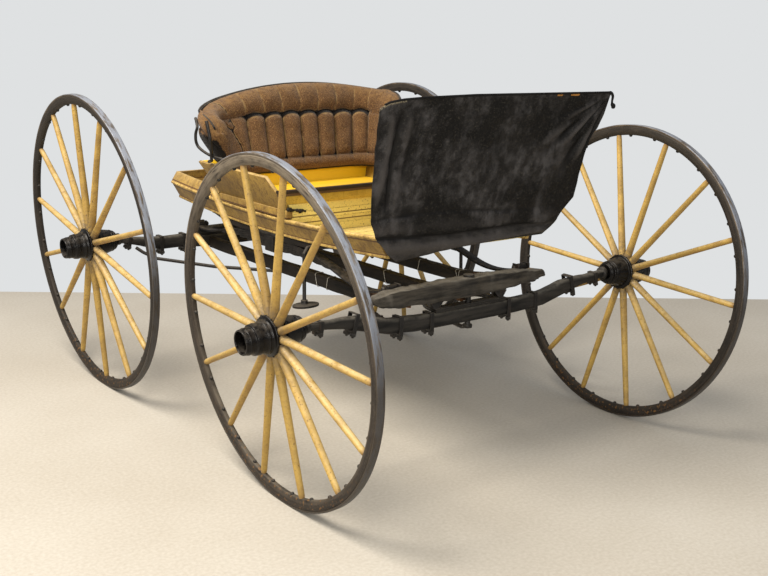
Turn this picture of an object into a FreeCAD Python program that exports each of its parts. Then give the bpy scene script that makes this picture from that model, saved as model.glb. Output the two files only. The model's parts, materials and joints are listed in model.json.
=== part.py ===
import FreeCAD, Part
import math
import os
import Sketcher
from FreeCAD import Placement, Rotation, Vector

# A light American road wagon (a side-spring buggy): four tall wooden wheels, a front
# axle that steers about a king bolt, three perches back to the rear axle, two long side
# springs, and a shallow swept body with a flared seat box and a leather dash.
# Millimetres. +Z is up, the wagon faces -Y and its left side is +X. The origin is on the
# ground, midway between the foremost and the rearmost points of the tyres.

SIZES = (
    # name, value, meaning
    ("wheelbase", 1364, "front axle to rear axle"),
    ("track", 1411.4, "between the two tyres of an axle, on the ground"),
    ("front_radius", 533.4, "front wheel over the tyre"),
    ("rear_radius", 571, "rear wheel over the tyre"),
    ("front_camber", 4.0, "degrees that a front wheel's top leans out"),
    ("rear_camber", 3.4, "degrees that a rear wheel's top leans out"),
    ("tyre_width", 25.4, "steel tyre across the tread"),
    ("tyre_thick", 7, "steel tyre, radially"),
    ("felloe_depth", 31, "wooden felloe, radially"),
    ("felloe_round", 6, "how far the felloe's inner corners are taken off"),
    ("spoke_count", 14, "spokes in each wheel"),
    ("spoke_foot", 12.5, "half the spoke's width where it leaves the hub"),
    ("spoke_foot_deep", 15, "half the spoke's depth where it leaves the hub"),
    ("spoke_tip", 10, "spoke's radius where it enters the felloe"),
    ("hub_band", 58, "radius of the band that holds the spokes"),
    ("hub_back", 98, "spoke plane to the hub's inner end"),
    ("hub_nose", 109, "spoke plane to the hub's outer end"),
    ("nut_seat", 62, "spoke plane to the floor of the nose's recess"),
    ("spindle_radius", 16, "axle arm inside the hub"),
    ("spindle_fit", 0.06, "radial running clearance of hub and king bolt"),
    ("clearance", 6, "least gap between moving pieces"),
    ("axle_tall", 24, "iron axle, height"),
    ("axle_deep", 30, "iron axle, front to back"),
    ("bed_deep", 36, "wooden axle bed, front to back"),
    ("front_mid_z", 474, "front axle's iron at its middle, centre height"),
    ("rear_mid_z", 520, "rear axle's iron at its middle, centre height"),
    ("bed_top", 512, "top of the front axle bed at its middle"),
    ("ring_radius", 150, "fifth wheel, outer radius"),
    ("ring_inner", 126, "fifth wheel, inner radius"),
    ("ring_thick", 6, "each of the two fifth wheel plates"),
    ("ring_gap", 0.3, "gap between the fifth wheel plates"),
    ("cross_wide", 40, "fifth wheel's cross bar, front to back"),
    ("bolt_radius", 9.5, "king bolt"),
    ("perch_spacing", 225, "middle perch to a side perch"),
    ("perch_wide", 32, "perch across"),
    ("perch_low", 503, "underside of a perch"),
    ("perch_top", 546, "top of a perch, which meets the spring bar"),
    ("tongue_start", -378, "where a perch thins to its front tongue"),
    ("bar_half", 362, "half the front spring bar's length"),
    ("bar_y", -695, "front spring bar's centre line"),
    ("bar_deep", 52, "front spring bar, front to back"),
    ("bar_top", 609, "top of the front spring bar"),
    ("spring_x", 278, "side spring's centre line from the middle"),
    ("spring_wide", 38, "side spring leaf across"),
    ("leaf_thick", 8, "each spring leaf"),
    ("crown_z", 655, "top of a side spring at its crown"),
    ("sweep_radius", 8800, "curve of the body's bottom line, seen from the side"),
    ("body_low", 667, "lowest line of the body"),
    ("body_mid_y", 61, "middle of the body, and of the springs"),
    ("body_half", 717.5, "half the body's length along its bottom"),
    ("board", 12, "thickness of the body's boards"),
    ("side_rise", 75, "height of a body side"),
    ("floor_rise", 18, "top of the floor above the body's bottom line"),
    ("body_foot", 301, "body's half width at the bottom"),
    ("body_brim", 339, "body's half width at the top of its sides"),
    ("coaming_rise", 112, "top of the boot's coaming above the body's bottom line"),
    ("seat_floor", 776, "underside of the seat box"),
    ("seat_foot", 340, "seat box half width at the bottom"),
    ("seat_front", -128, "front of the seat box"),
    ("seat_rear", 357, "rear of the seat box at the bottom"),
    ("seat_flare", 27.5, "degrees that the seat sides lean out"),
    ("seat_rake", 25.6, "degrees that the seat's rear board leans back"),
    ("rail_low", 820, "underside of the seat's front rail"),
    ("rail_top", 846, "top of the seat's front rail"),
    ("back_low", 847, "bottom edge of the seat back"),
    ("back_top", 1163, "highest point of the seat back"),
    ("dash_top", 1193, "top edge of the dash"),
    ("dash_low", 713, "bottom edge of the dash"),
    ("leather", 4, "thickness of the dash leather"),
)

doc = FreeCAD.newDocument("Road_wagon")
dim = doc.addObject("Spreadsheet::Sheet", "dim")
for row, (alias, amount, meaning) in enumerate(SIZES, start=1):
    dim.set(f"A{row}", alias)
    dim.set(f"B{row}", str(amount))
    dim.set(f"C{row}", meaning)
    dim.setAlias(f"B{row}", alias)
doc.recompute()

subparts = []  # the objects that are written, in order


# ---------------------------------------------------------------- helpers

def size(expression):
    """The value of an expression over the sheet, such as dim.track / 2."""
    return float(dim.evalExpression(expression))


def keep(label, item, place=None):
    """Names an object as a sub-part, places it and lists it for writing."""
    item.Label = label
    if place is not None:
        item.Placement = place
    subparts.append(item)
    return item


def origin_plane(body, role):
    """One of a body's own three origin planes."""
    return next(plane for plane in body.Origin.OriginFeatures if plane.Role == role)


def outline(body, name, role, corners):
    """A closed sketch of straight edges whose corners are tied to the sheet.

    corners holds pairs of expressions: across and up in the sketch's plane."""
    sketch = body.newObject("Sketcher::SketchObject", name)
    sketch.AttachmentSupport = [(origin_plane(body, role), "")]
    sketch.MapMode = "FlatFace"
    spots = [Vector(size(across), size(up), 0) for across, up in corners]
    count = len(spots)
    for index, spot in enumerate(spots):
        sketch.addGeometry(Part.LineSegment(spot, spots[(index + 1) % count]), False)
    for index in range(count):
        joined = ("Coincident", index, 2, (index + 1) % count, 1)
        sketch.addConstraint(Sketcher.Constraint(*joined))
    for index, (across, up) in enumerate(corners):
        for kind, expression in (("DistanceX", across), ("DistanceY", up)):
            tie = Sketcher.Constraint(kind, -1, 1, index, 1, size(expression))
            number = sketch.addConstraint(tie)
            sketch.setExpression(f"Constraints[{number}]", expression)
    return sketch


def padded(name, role, corners, thickness):
    """A board or bar: an outline on a body's plane, padded evenly to both sides."""
    body = doc.addObject("PartDesign::Body", name)
    sketch = outline(body, name + "_outline", role, corners)
    pad = body.newObject("PartDesign::Pad", name + "_pad")
    pad.Profile = sketch
    pad.Midplane = True
    pad.setExpression("Length", thickness)
    return body


def turned(name, corners):
    """A turned piece: (along the axis, radius) pairs spun about the body's X axis."""
    body = doc.addObject("PartDesign::Body", name)
    sketch = outline(body, name + "_outline", "XZ_Plane", corners)
    spin = body.newObject("PartDesign::Revolution", name + "_spin")
    spin.Profile = sketch
    spin.ReferenceAxis = (sketch, ["H_Axis"])
    spin.Angle = 360
    return body


def swept(name, section, start, stretch):
    """A board that follows the body's sweep.

    section holds (across, rise above the bottom line) expressions. start and stretch
    are lengths along the bottom line, from the body's middle."""
    body = doc.addObject("PartDesign::Body", name)
    corners = [(across, f"{rise} - dim.sweep_radius") for across, rise in section]
    sketch = outline(body, name + "_section", "XZ_Plane", corners)
    spin = body.newObject("PartDesign::Revolution", name + "_sweep")
    spin.Profile = sketch
    spin.ReferenceAxis = (sketch, ["H_Axis"])
    spin.setExpression("Angle", f"({stretch}) / dim.sweep_radius * 180 deg / pi")
    spin.Midplane = True
    middle = size(f"{start} + ({stretch}) / 2") / dim.sweep_radius
    centre = Vector(0, dim.body_mid_y, dim.body_low + dim.sweep_radius)
    body.Placement = Placement(centre, Rotation(Vector(1, 0, 0), math.degrees(middle)))
    return body


def block(name, lengths, corner):
    """A box: three length expressions and the place of its lowest corner."""
    box = doc.addObject("Part::Box", name)
    for side, expression in zip(("Length", "Width", "Height"), lengths):
        box.setExpression(side, expression)
    box.Placement.Base = Vector(*corner)
    return box


def rod(name, radius, length, start, direction):
    """A cylinder: radius and length expressions, where it starts and where it points."""
    bar = doc.addObject("Part::Cylinder", name)
    bar.setExpression("Radius", radius)
    bar.setExpression("Height", length)
    turn = Rotation(Vector(0, 0, 1), Vector(*direction))
    bar.Placement = Placement(Vector(*start), turn)
    return bar


def fused(name, pieces):
    """Several touching pieces as one solid."""
    whole = doc.addObject("Part::MultiFuse", name)
    whole.Shapes = pieces
    return whole


def less(name, base, tool):
    """A piece with another's volume taken out of it."""
    result = doc.addObject("Part::Cut", name)
    result.Base = base
    result.Tool = tool
    return result


def shaped(name, shape):
    """A piece whose form has no feature of its own, such as a bent rod."""
    piece = doc.addObject("Part::Feature", name)
    piece.Shape = shape
    return piece


def bent_rod(radius, points):
    """A round rod along straight runs, with a ball at each bend."""
    spots = [Vector(*point) for point in points]
    solid = None
    for here, there in zip(spots, spots[1:]):
        run = there - here
        piece = Part.makeCylinder(radius, run.Length, here, run)
        solid = piece if solid is None else solid.fuse(piece)
    for spot in spots[1:-1]:
        solid = solid.fuse(Part.makeSphere(radius, spot))
    return solid.removeSplitter()


def mirrored_x(points):
    """The same points on the other side of the wagon."""
    return [(-x, y, z) for x, y, z in points]


# ---------------------------------------------------------------- key places

overhang = (dim.rear_radius - dim.front_radius) / 2
FRONT_Y = -dim.wheelbase / 2 - overhang
REAR_Y = dim.wheelbase / 2 - overhang
SIDES = (("left", 1), ("right", -1))
AXLES = (
    # name, where it lies, wheel radius, camber in degrees
    ("front", FRONT_Y, dim.front_radius, dim.front_camber),
    ("rear", REAR_Y, dim.rear_radius, dim.rear_camber),
)


def wheel_place(side, axle_y, radius, camber):
    """A wheel's own frame: its X axis points out along the axle arm."""
    lean = math.radians(camber)
    reach = dim.track / 2 + radius * math.sin(lean)
    height = radius * math.cos(lean) + dim.tyre_width / 2 * math.sin(lean)
    facing = Rotation(Vector(0, 0, 1), 0 if side > 0 else 180)
    tilt = Rotation(Vector(0, 1, 0), side * camber)
    return Placement(Vector(side * reach, axle_y, height), tilt.multiply(facing))


# ---------------------------------------------------------------- wheels

def tyre(label, radius, place):
    """Steel tyre, shrunk on."""
    width = "dim.tyre_width / 2"
    inner = f"{radius} - dim.tyre_thick"
    corners = [
        (f"-{width}", inner), (width, inner), (width, radius), (f"-{width}", radius),
    ]
    keep(label, turned(label, corners), place)


def felloe(label, radius, place):
    """Wooden rim under the tyre, its inner corners rounded off."""
    width = "dim.tyre_width / 2"
    outer = f"{radius} - dim.tyre_thick"
    inner = f"{outer} - dim.felloe_depth"
    corners = [
        (f"-{width}", outer), (width, outer),
        (width, f"{inner} + dim.felloe_round * 2"),
        (f"{width} - dim.felloe_round", inner),
        (f"-{width} + dim.felloe_round", inner),
        (f"-{width}", f"{inner} + dim.felloe_round * 2"),
    ]
    keep(label, turned(label, corners), place)


def spokes(label, radius, place, turn):
    """Oval spokes, tapering from the hub to the felloe, turned by a share of their spacing."""
    rim = radius - dim.tyre_thick - dim.felloe_depth
    foot = Part.Ellipse(Vector(0, 0, dim.hub_band - 8), dim.spoke_foot_deep, dim.spoke_foot)
    tip = Part.Circle(Vector(0, 0, rim + 4), Vector(0, 0, 1), dim.spoke_tip)
    wires = [Part.Wire([curve.toShape()]) for curve in (foot, tip)]
    spoke = Part.makeLoft(wires, True, True)
    long_way = dim.tyre_width * 4
    across = Vector(1, 0, 0)
    start = Vector(-long_way / 2, 0, 0)
    spoke = spoke.common(Part.makeCylinder(rim, long_way, start, across))
    spoke = spoke.cut(Part.makeCylinder(dim.hub_band, long_way, start, across))
    ring = []
    for number in range(int(dim.spoke_count)):
        copy = spoke.copy()
        copy.rotate(Vector(), across, (number + turn) * 360 / dim.spoke_count)
        ring.append(copy)
    keep(label, shaped(label, Part.makeCompound(ring)), place)


def hub(label, place):
    """Hub with a flanged back, a banded nose and a recess for the axle nut."""
    bore = "dim.spindle_radius + dim.spindle_fit"
    corners = [
        ("-dim.hub_back", bore), ("-dim.hub_back", "33"), ("-dim.hub_back + 5", "37"),
        ("-dim.hub_back + 12", "37"), ("-dim.hub_back + 15", "42"),
        ("-dim.hub_back + 40", "46"), ("-24", "52"), ("-15", "dim.hub_band"),
        ("15", "dim.hub_band"), ("24", "52"), ("34", "48"), ("58", "45"), ("60", "47"),
        ("74", "46"), ("76", "42"), ("dim.hub_nose", "38"), ("dim.hub_nose", "31"),
        ("dim.nut_seat", "29"), ("dim.nut_seat", bore),
    ]
    keep(label, turned(label, corners), place)


SPOKE_TURNS = {  # how each wheel came to rest, as a share of the spokes' spacing
    "wheel_front_left": 0.61, "wheel_front_right": 0.44,
    "wheel_rear_left": 0.57, "wheel_rear_right": 0.065,
}

for axle, axle_y, wheel_radius, camber in AXLES:
    for side_name, side in SIDES:
        wheel = f"wheel_{axle}_{side_name}"
        place = wheel_place(side, axle_y, wheel_radius, camber)
        tyre(f"{wheel}_tyre", f"dim.{axle}_radius", place)
        felloe(f"{wheel}_felloe", f"dim.{axle}_radius", place)
        spokes(f"{wheel}_spokes", wheel_radius, place, SPOKE_TURNS[wheel])
        hub(f"{wheel}_hub", place)


# ---------------------------------------------------------------- axles

def axle_arm(name, place):
    """Spindle, shoulder and nut of one wheel, in the wheel's own frame."""
    shoulder = ("-dim.hub_back - dim.clearance - 14", "-dim.hub_back - dim.clearance")
    nut = ("dim.nut_seat + dim.clearance", "dim.nut_seat + dim.clearance + 18")
    corners = [
        (shoulder[0], "0"), (shoulder[0], "23"), (shoulder[1], "23"),
        (shoulder[1], "dim.spindle_radius"), (nut[0], "dim.spindle_radius"),
        (nut[0], "21"), (nut[1], "21"), (nut[1], "0"),
    ]
    arm = turned(name, corners)
    arm.Placement = place
    return arm


def mirrored_beam(half):
    """Corners of a beam's front view from its right-hand half, from the middle out."""
    lower = [(x, low) for x, low, high in half]
    upper = [(x, high) for x, low, high in reversed(half)]
    right = lower + upper
    left = [(f"-({x})", z) for x, z in reversed(right) if x != "0"]
    middle_low, middle_high = lower[0], upper[-1]
    ordered = [point for point in right if point[0] != "0"]
    return [middle_low] + ordered + [middle_high] + left


def iron_axle(name, mid_z, half_line, axle_y, radius, camber):
    """Drop axle: a forged beam with an arm at each end."""
    half = [
        (x, f"{z} - dim.axle_tall / 2", f"{z} + dim.axle_tall / 2") for x, z in half_line
    ]
    beam = padded(f"{name}_beam", "XZ_Plane", mirrored_beam(half), "dim.axle_deep")
    beam.Placement.Base = Vector(0, axle_y, 0)
    arms = []
    for side_name, side in SIDES:
        place = wheel_place(side, axle_y, radius, camber)
        arms.append(axle_arm(f"{name}_arm_{side_name}", place))
    return fused(name, [beam] + arms)


FRONT_LINE = (
    # out from the middle, centre height of the iron
    ("0", "dim.front_mid_z"), ("200", "dim.front_mid_z"), ("330", "481"),
    ("424", "505"), ("520", "530"), ("632", "540"),
)
REAR_LINE = (
    ("0", "dim.rear_mid_z"), ("260", "dim.rear_mid_z"), ("340", "531"),
    ("460", "531"), ("560", "560"), ("630", "576"),
)
BED_RISE = 26


def bed(name, line, axle_y, last):
    """Wooden bed lying on the iron, out to its feathered end."""
    half = []
    for x, z in line[:last]:
        half.append((x, f"{z} + dim.axle_tall / 2", f"{z} + dim.axle_tall / 2 + {BED_RISE}"))
    x, z = line[last]
    half.append((x, f"{z} + dim.axle_tall / 2", f"{z} + dim.axle_tall / 2 + 6"))
    piece = padded(name, "XZ_Plane", mirrored_beam(half), "dim.bed_deep")
    piece.Placement.Base = Vector(0, axle_y, 0)
    return piece


def king_bore(name, axle_y):
    """The hole that the king bolt passes through."""
    start = (0, axle_y, dim.front_mid_z - 60)
    return rod(name, "dim.bolt_radius + dim.spindle_fit", "160", start, (0, 0, 1))


def line_height(line, out):
    """Centre height of an axle's iron, and its slope in degrees, at a distance out."""
    spots = [(size(x), size(z)) for x, z in line]
    for (near, low), (far, high) in zip(spots, spots[1:]):
        if near <= out <= far:
            part = (out - near) / (far - near)
            slope = math.degrees(math.atan2(high - low, far - near))
            return low + part * (high - low), slope
    raise ValueError(out)


FRONT_CLIPS = (166, 290, 465, 585)  # how far out each pair of clips stands
REAR_CLIPS = (352, 452, 585)
CLIP_WIDE = 15
CLIP_THICK = 4
BED_END = 500  # clips further out hold the iron alone


def clips(label, line, axle_y, outs):
    """Iron clips round axle and bed, each with a bottom plate and two nuts."""
    ring = []
    tall = dim.axle_tall + BED_RISE
    for out in outs:
        height, slope = line_height(line, out)
        on_bed = out < BED_END
        top = tall if on_bed else dim.axle_tall
        deep = dim.bed_deep if on_bed else dim.axle_deep
        below = -dim.axle_tall / 2
        outer = Part.makeBox(CLIP_WIDE, deep + 2 * CLIP_THICK, top + 3 * CLIP_THICK)
        outer.translate(Vector(-CLIP_WIDE / 2, -deep / 2 - CLIP_THICK, below - 2 * CLIP_THICK))
        inner = Part.makeBox(CLIP_WIDE * 2, deep, top)
        inner.translate(Vector(-CLIP_WIDE, -deep / 2, below))
        piece = outer.cut(inner)
        for along in (-deep / 2 + 2, deep / 2 - 2):
            shank = Part.makeCylinder(CLIP_WIDE / 2, 12, Vector(0, along, below - 19))
            piece = piece.fuse(shank)
        piece = piece.removeSplitter()
        for side in (1, -1):
            copy = piece.copy()
            turn = Rotation(Vector(0, 1, 0), -side * slope)
            copy.Placement = Placement(Vector(side * out, axle_y, height), turn)
            ring.append(copy)
    keep(label, shaped(label, Part.makeCompound(ring)))


front_iron = iron_axle(
    "front_iron", "dim.front_mid_z", FRONT_LINE, FRONT_Y, dim.front_radius, dim.front_camber)
keep("front_axle", less("front_axle", front_iron, king_bore("axle_bore", FRONT_Y)))
front_wood = bed("front_wood", FRONT_LINE, FRONT_Y, 4)
keep("front_axle_bed", less("front_axle_bed", front_wood, king_bore("bed_bore", FRONT_Y)))
clips("front_axle_clips", FRONT_LINE, FRONT_Y, FRONT_CLIPS)

rear_iron = iron_axle(
    "rear_axle", "dim.rear_mid_z", REAR_LINE, REAR_Y, dim.rear_radius, dim.rear_camber)
keep("rear_axle", rear_iron)
keep("rear_axle_bed", bed("rear_axle_bed", REAR_LINE, REAR_Y, 4))
clips("rear_axle_clips", REAR_LINE, REAR_Y, REAR_CLIPS)


# ---------------------------------------------------------------- fifth wheel

def plate_ring(name, low, feet=()):
    """Flat half ring behind the axle, with a cross bar and the king bolt's hole."""
    start = (0, FRONT_Y, low)
    up = (0, 0, 1)
    outer = rod(f"{name}_disc", "dim.ring_radius", "dim.ring_thick", start, up)
    inner = rod(f"{name}_hole", "dim.ring_inner", "dim.ring_thick", start, up)
    hoop = less(f"{name}_hoop", outer, inner)
    corner = (-dim.ring_radius - 5, FRONT_Y - dim.ring_radius - 5, low - 1)
    lengths = ("2 * dim.ring_radius + 10", "dim.ring_radius + 5", "dim.ring_thick + 2")
    ahead = block(f"{name}_ahead", lengths, corner)
    half_hoop = less(f"{name}_half_hoop", hoop, ahead)
    corner = (-dim.ring_radius, FRONT_Y - dim.cross_wide / 2, low)
    lengths = ("2 * dim.ring_radius", "dim.cross_wide", "dim.ring_thick")
    cross = block(f"{name}_cross", lengths, corner)
    whole = fused(f"{name}_whole", [half_hoop, cross, *feet])
    return less(name, whole, king_bore(f"{name}_bore", FRONT_Y))


def bar_foot(name, side):
    """Tapered iron block that stands the spring bar on one end of the upper plate."""
    low = f"{upper_ring} + dim.ring_thick - 1"
    near, far = ("dim.ring_inner - 18", "dim.ring_radius + 14")
    corners = [
        (near, "dim.perch_top"), (far, "dim.perch_top"),
        ("dim.ring_radius - 2", low), ("dim.ring_inner + 2", low),
    ]
    front_view = corners if side > 0 else [(f"-({x})", z) for x, z in corners]
    foot = padded(name, "XZ_Plane", front_view, "30")
    foot.Placement.Base = Vector(0, dim.bar_y, 0)
    return foot


lower_ring = dim.bed_top
upper_ring = lower_ring + dim.ring_thick + dim.ring_gap
keep("fifth_wheel_lower", plate_ring("fifth_wheel_lower", lower_ring))
bar_feet = [bar_foot(f"bar_foot_{side_name}", side) for side_name, side in SIDES]
keep("fifth_wheel_upper", plate_ring("fifth_wheel_upper", upper_ring, bar_feet))


def king_bolt():
    """King bolt from under the axle up through the spring bar."""
    up = (0, 0, 1)
    low = size("dim.front_mid_z - dim.axle_tall / 2") - 26
    length = f"dim.bar_top + 4 - {low}"
    shank = rod("bolt_shank", "dim.bolt_radius", length, (0, FRONT_Y, low), up)
    head = rod("bolt_head", "dim.bolt_radius * 1.9", "9", (0, FRONT_Y, dim.bar_top), up)
    nut = rod("bolt_nut", "dim.bolt_radius * 1.7", "11", (0, FRONT_Y, low + 2), up)
    keep("king_bolt", fused("king_bolt", [shank, head, nut]))


king_bolt()


# ---------------------------------------------------------------- perches and spring bars

PERCHES = (
    # name, place across, how far its front tongue is sprung up
    ("left", dim.perch_spacing, 30), ("middle", 0, 0), ("right", -dim.perch_spacing, 6),
)


def perch(label, x, lift):
    """Straight wooden reach from the rear axle to its thin front tongue."""
    rear = f"{REAR_Y} - dim.bed_deep / 2"
    front = "dim.bar_y + dim.bar_deep / 2" if lift else "dim.bar_y + 18"
    under = f"{upper_ring} + dim.ring_thick"
    corners = [
        (rear, "dim.perch_low"), (rear, "dim.perch_top"),
        ("dim.tongue_start - 20", "dim.perch_top"), (front, f"dim.perch_top + {lift}"),
        (front, f"{under} + {lift}"), ("dim.tongue_start - 20", under),
        ("dim.tongue_start", "dim.perch_low"),
    ]
    wood = padded(label, "YZ_Plane", corners, "dim.perch_wide")
    keep(label, wood, Placement(Vector(x, 0, 0), Rotation()))


for name, x, lift in PERCHES:
    perch(f"perch_{name}", x, lift)


def front_spring_bar():
    """Wooden bar over the fifth wheel, its ends tapered, bored for the king bolt."""
    half = [
        ("0", "dim.perch_top", "dim.bar_top"), ("120", "dim.perch_top", "dim.bar_top - 1"),
        ("200", "dim.perch_top + 7", "dim.bar_top - 4"),
        ("300", "dim.perch_top + 18", "dim.bar_top - 9"),
        ("dim.bar_half", "dim.perch_top + 31", "dim.bar_top - 20"),
    ]
    bar = padded("spring_bar_wood", "XZ_Plane", mirrored_beam(half), "dim.bar_deep")
    bar.Placement.Base = Vector(0, dim.bar_y, 0)
    start = (0, FRONT_Y, dim.perch_top - 10)
    bore = rod("spring_bar_bore", "dim.bolt_radius", "90", start, (0, 0, 1))
    keep("front_spring_bar", less("front_spring_bar", bar, bore))


front_spring_bar()

REAR_BAR_LOW = dim.rear_mid_z + dim.axle_tall / 2 + BED_RISE
REAR_BAR_TOP = 590


def rear_spring_bar():
    """Wooden bar on the rear axle bed, under the springs' rear eyes."""
    half = [
        ("0", str(REAR_BAR_LOW), str(REAR_BAR_TOP)),
        ("260", str(REAR_BAR_LOW), str(REAR_BAR_TOP)),
        ("305", str(REAR_BAR_LOW + 6.2), str(REAR_BAR_TOP - 6)),
    ]
    bar = padded("rear_spring_bar", "XZ_Plane", mirrored_beam(half), "dim.bed_deep + 6")
    keep("rear_spring_bar", bar, Placement(Vector(0, REAR_Y, 0), Rotation()))


rear_spring_bar()


# ---------------------------------------------------------------- side springs

EYE_RADIUS = 13
FRONT_EYE = (dim.bar_y + 45, 598)
REAR_EYE = (REAR_Y - 12, REAR_BAR_TOP + EYE_RADIUS)
DIP_FRONT = (-400, 588)
DIP_REAR = (500, 606)
LEAF_REACH = (410, 340, 270, 200, 130)  # half lengths of the lower leaves


def arc_from(start, heading, end):
    """The arc that leaves start along heading and passes through end.

    Returns its middle point and its heading at the end. All in the Y-Z plane."""
    chord = (end[0] - start[0], end[1] - start[1])
    length = math.hypot(*chord)
    swing = math.atan2(chord[1], chord[0]) - heading
    bulge = length / 2 * math.tan(swing / 2)
    middle = (
        (start[0] + end[0]) / 2 + chord[1] / length * bulge,
        (start[1] + end[1]) / 2 - chord[0] / length * bulge,
    )
    return middle, heading + 2 * swing


def strip(path, thickness, width):
    """A bent strip: arcs given as (start, middle, end) in the Y-Z plane, thick downwards."""
    solid = None
    for start, middle, end in path:
        top = [Vector(0, y, z) for y, z in (start, middle, end)]
        curve = Part.Arc(*top).toShape()
        centre, radius = curve.Curve.Center, curve.Curve.Radius
        below = radius - thickness if centre.z < middle[1] else radius + thickness
        bottom = [centre + (spot - centre) * (below / radius) for spot in top]
        under = Part.Arc(bottom[2], bottom[1], bottom[0]).toShape()
        face = Part.Face(Part.Wire([
            curve, Part.makeLine(top[2], bottom[2]), under, Part.makeLine(bottom[0], top[0]),
        ]))
        face.translate(Vector(-width / 2, 0, 0))
        piece = face.extrude(Vector(width, 0, 0))
        solid = piece if solid is None else solid.fuse(piece)
    return solid


def main_leaf():
    """Top leaf from eye to eye, over its crown."""
    crown = (dim.body_mid_y, dim.crown_z)
    path = []
    for stops, heading in (((DIP_FRONT, FRONT_EYE), math.pi), ((DIP_REAR, REAR_EYE), 0)):
        here = crown
        for stop in stops:
            middle, turned_to = arc_from(here, heading, stop)
            path.append((here, middle, stop))
            here, heading = stop, turned_to
    return path


def side_spring(label, x):
    """Long flat spring: a main leaf with shorter leaves under its crown, clipped."""
    path = main_leaf()
    solid = strip(path, dim.leaf_thick, dim.spring_wide)
    front_arc, rear_arc = path[0], path[2]
    for number, reach in enumerate(LEAF_REACH, start=1):
        pieces = []
        for arc, way in ((front_arc, -1), (rear_arc, 1)):
            curve = Part.Arc(*[Vector(0, y, z) for y, z in arc]).toShape().Curve
            radius = curve.Radius - number * dim.leaf_thick
            turn = way * reach / radius
            spots = []
            for share in (0, 0.5, 1):
                angle = turn * share
                spots.append((
                    curve.Center.y + radius * math.sin(angle),
                    curve.Center.z + radius * math.cos(angle),
                ))
            pieces.append(tuple(spots))
        solid = solid.fuse(strip(pieces, dim.leaf_thick, dim.spring_wide - 2))
    for y, z in (FRONT_EYE, REAR_EYE):
        start = Vector(-dim.spring_wide / 2, y, z)
        eye = Part.makeCylinder(EYE_RADIUS, dim.spring_wide, start, Vector(1, 0, 0))
        solid = solid.fuse(eye)
    pack = dim.leaf_thick * (len(LEAF_REACH) + 1)
    clip = Part.makeBox(dim.spring_wide + 12, 60, pack + 12)
    clip.translate(Vector(-dim.spring_wide / 2 - 6, dim.body_mid_y - 30, dim.crown_z - pack - 12))
    solid = solid.fuse(clip).removeSplitter()
    keep(label, shaped(label, solid), Placement(Vector(x, 0, 0), Rotation()))


for side_name, side in SIDES:
    side_spring(f"side_spring_{side_name}", side * dim.spring_x)


def spring_brackets():
    """Forged cheeks behind the front bar and saddles on the rear bar that hold the eyes."""
    plates = []
    thick = 6
    bar_face = dim.bar_y + dim.bar_deep / 2
    for side in (1, -1):
        x = side * dim.spring_x
        gap = dim.spring_wide + 2
        for low in (x + gap / 2, x - gap / 2 - thick):
            cheek = Part.makeBox(thick, FRONT_EYE[0] - bar_face + EYE_RADIUS + 1, 34)
            cheek.translate(Vector(low, bar_face, FRONT_EYE[1] - 20))
            plates.append(cheek)
        saddle = Part.makeBox(gap + 18, 12, 26)
        saddle.translate(Vector(x - gap / 2 - 9, REAR_EYE[0] + EYE_RADIUS + 1, REAR_BAR_TOP))
        plates.append(saddle)
    keep("spring_brackets", shaped("spring_brackets", Part.makeCompound(plates)))


spring_brackets()


def body_blocks():
    """Wooden blocks and cross bearers between the springs and the body."""
    wide = dim.spring_wide + 12
    long = 150
    pieces = []
    for side in (1, -1):
        piece = Part.makeBox(wide, long, dim.body_low - dim.crown_z)
        middle = side * dim.spring_x
        piece.translate(Vector(middle - wide / 2, dim.body_mid_y - long / 2, dim.crown_z))
        pieces.append(piece)
    keep("spring_blocks", shaped("spring_blocks", Part.makeCompound(pieces)))


body_blocks()


# ---------------------------------------------------------------- stays

STAY_RADIUS = 6.5


def stays():
    """Round iron stays from the rear axle's ends forward and in to the side perches."""
    right = [
        (-565, REAR_Y - dim.axle_deep / 2 - 7, 540), (-540, REAR_Y - 34, 520),
        (-500, REAR_Y - 60, 496),
        (-350, 400, 482), (-dim.perch_spacing, 150, dim.perch_low - STAY_RADIUS),
    ]
    pair = [bent_rod(STAY_RADIUS, right), bent_rod(STAY_RADIUS, mirrored_x(right))]
    keep("axle_stays", shaped("axle_stays", Part.makeCompound(pair)))


def king_bolt_stay():
    """Curved iron under the axle that ties the king bolt's foot back to the middle perch."""
    low = size("dim.front_mid_z - dim.axle_tall / 2") - 20
    points = [
        (0, FRONT_Y, low), (0, FRONT_Y + 30, low - 8), (0, FRONT_Y + 80, low - 4),
        (0, FRONT_Y + 130, low + 14), (0, FRONT_Y + 160, low + 40), (0, FRONT_Y + 168, 500),
        (0, FRONT_Y + 168, upper_ring + dim.ring_thick),
    ]
    strap = bent_rod(7, points)
    bolt = Part.makeCylinder(dim.bolt_radius * 1.7, 60, Vector(0, FRONT_Y, low - 40))
    keep("king_bolt_stay", shaped("king_bolt_stay", strap.cut(bolt)))


stays()
king_bolt_stay()


# ---------------------------------------------------------------- body

def brim(rise):
    """Half width of the body's inner face at a height above its bottom line."""
    spread = f"(dim.body_brim - dim.body_foot) * ({rise}) / dim.side_rise"
    return f"(dim.body_foot - dim.board - 1 + {spread})"


WHOLE = ("-dim.body_half", "2 * dim.body_half")  # a board's start and stretch


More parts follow.
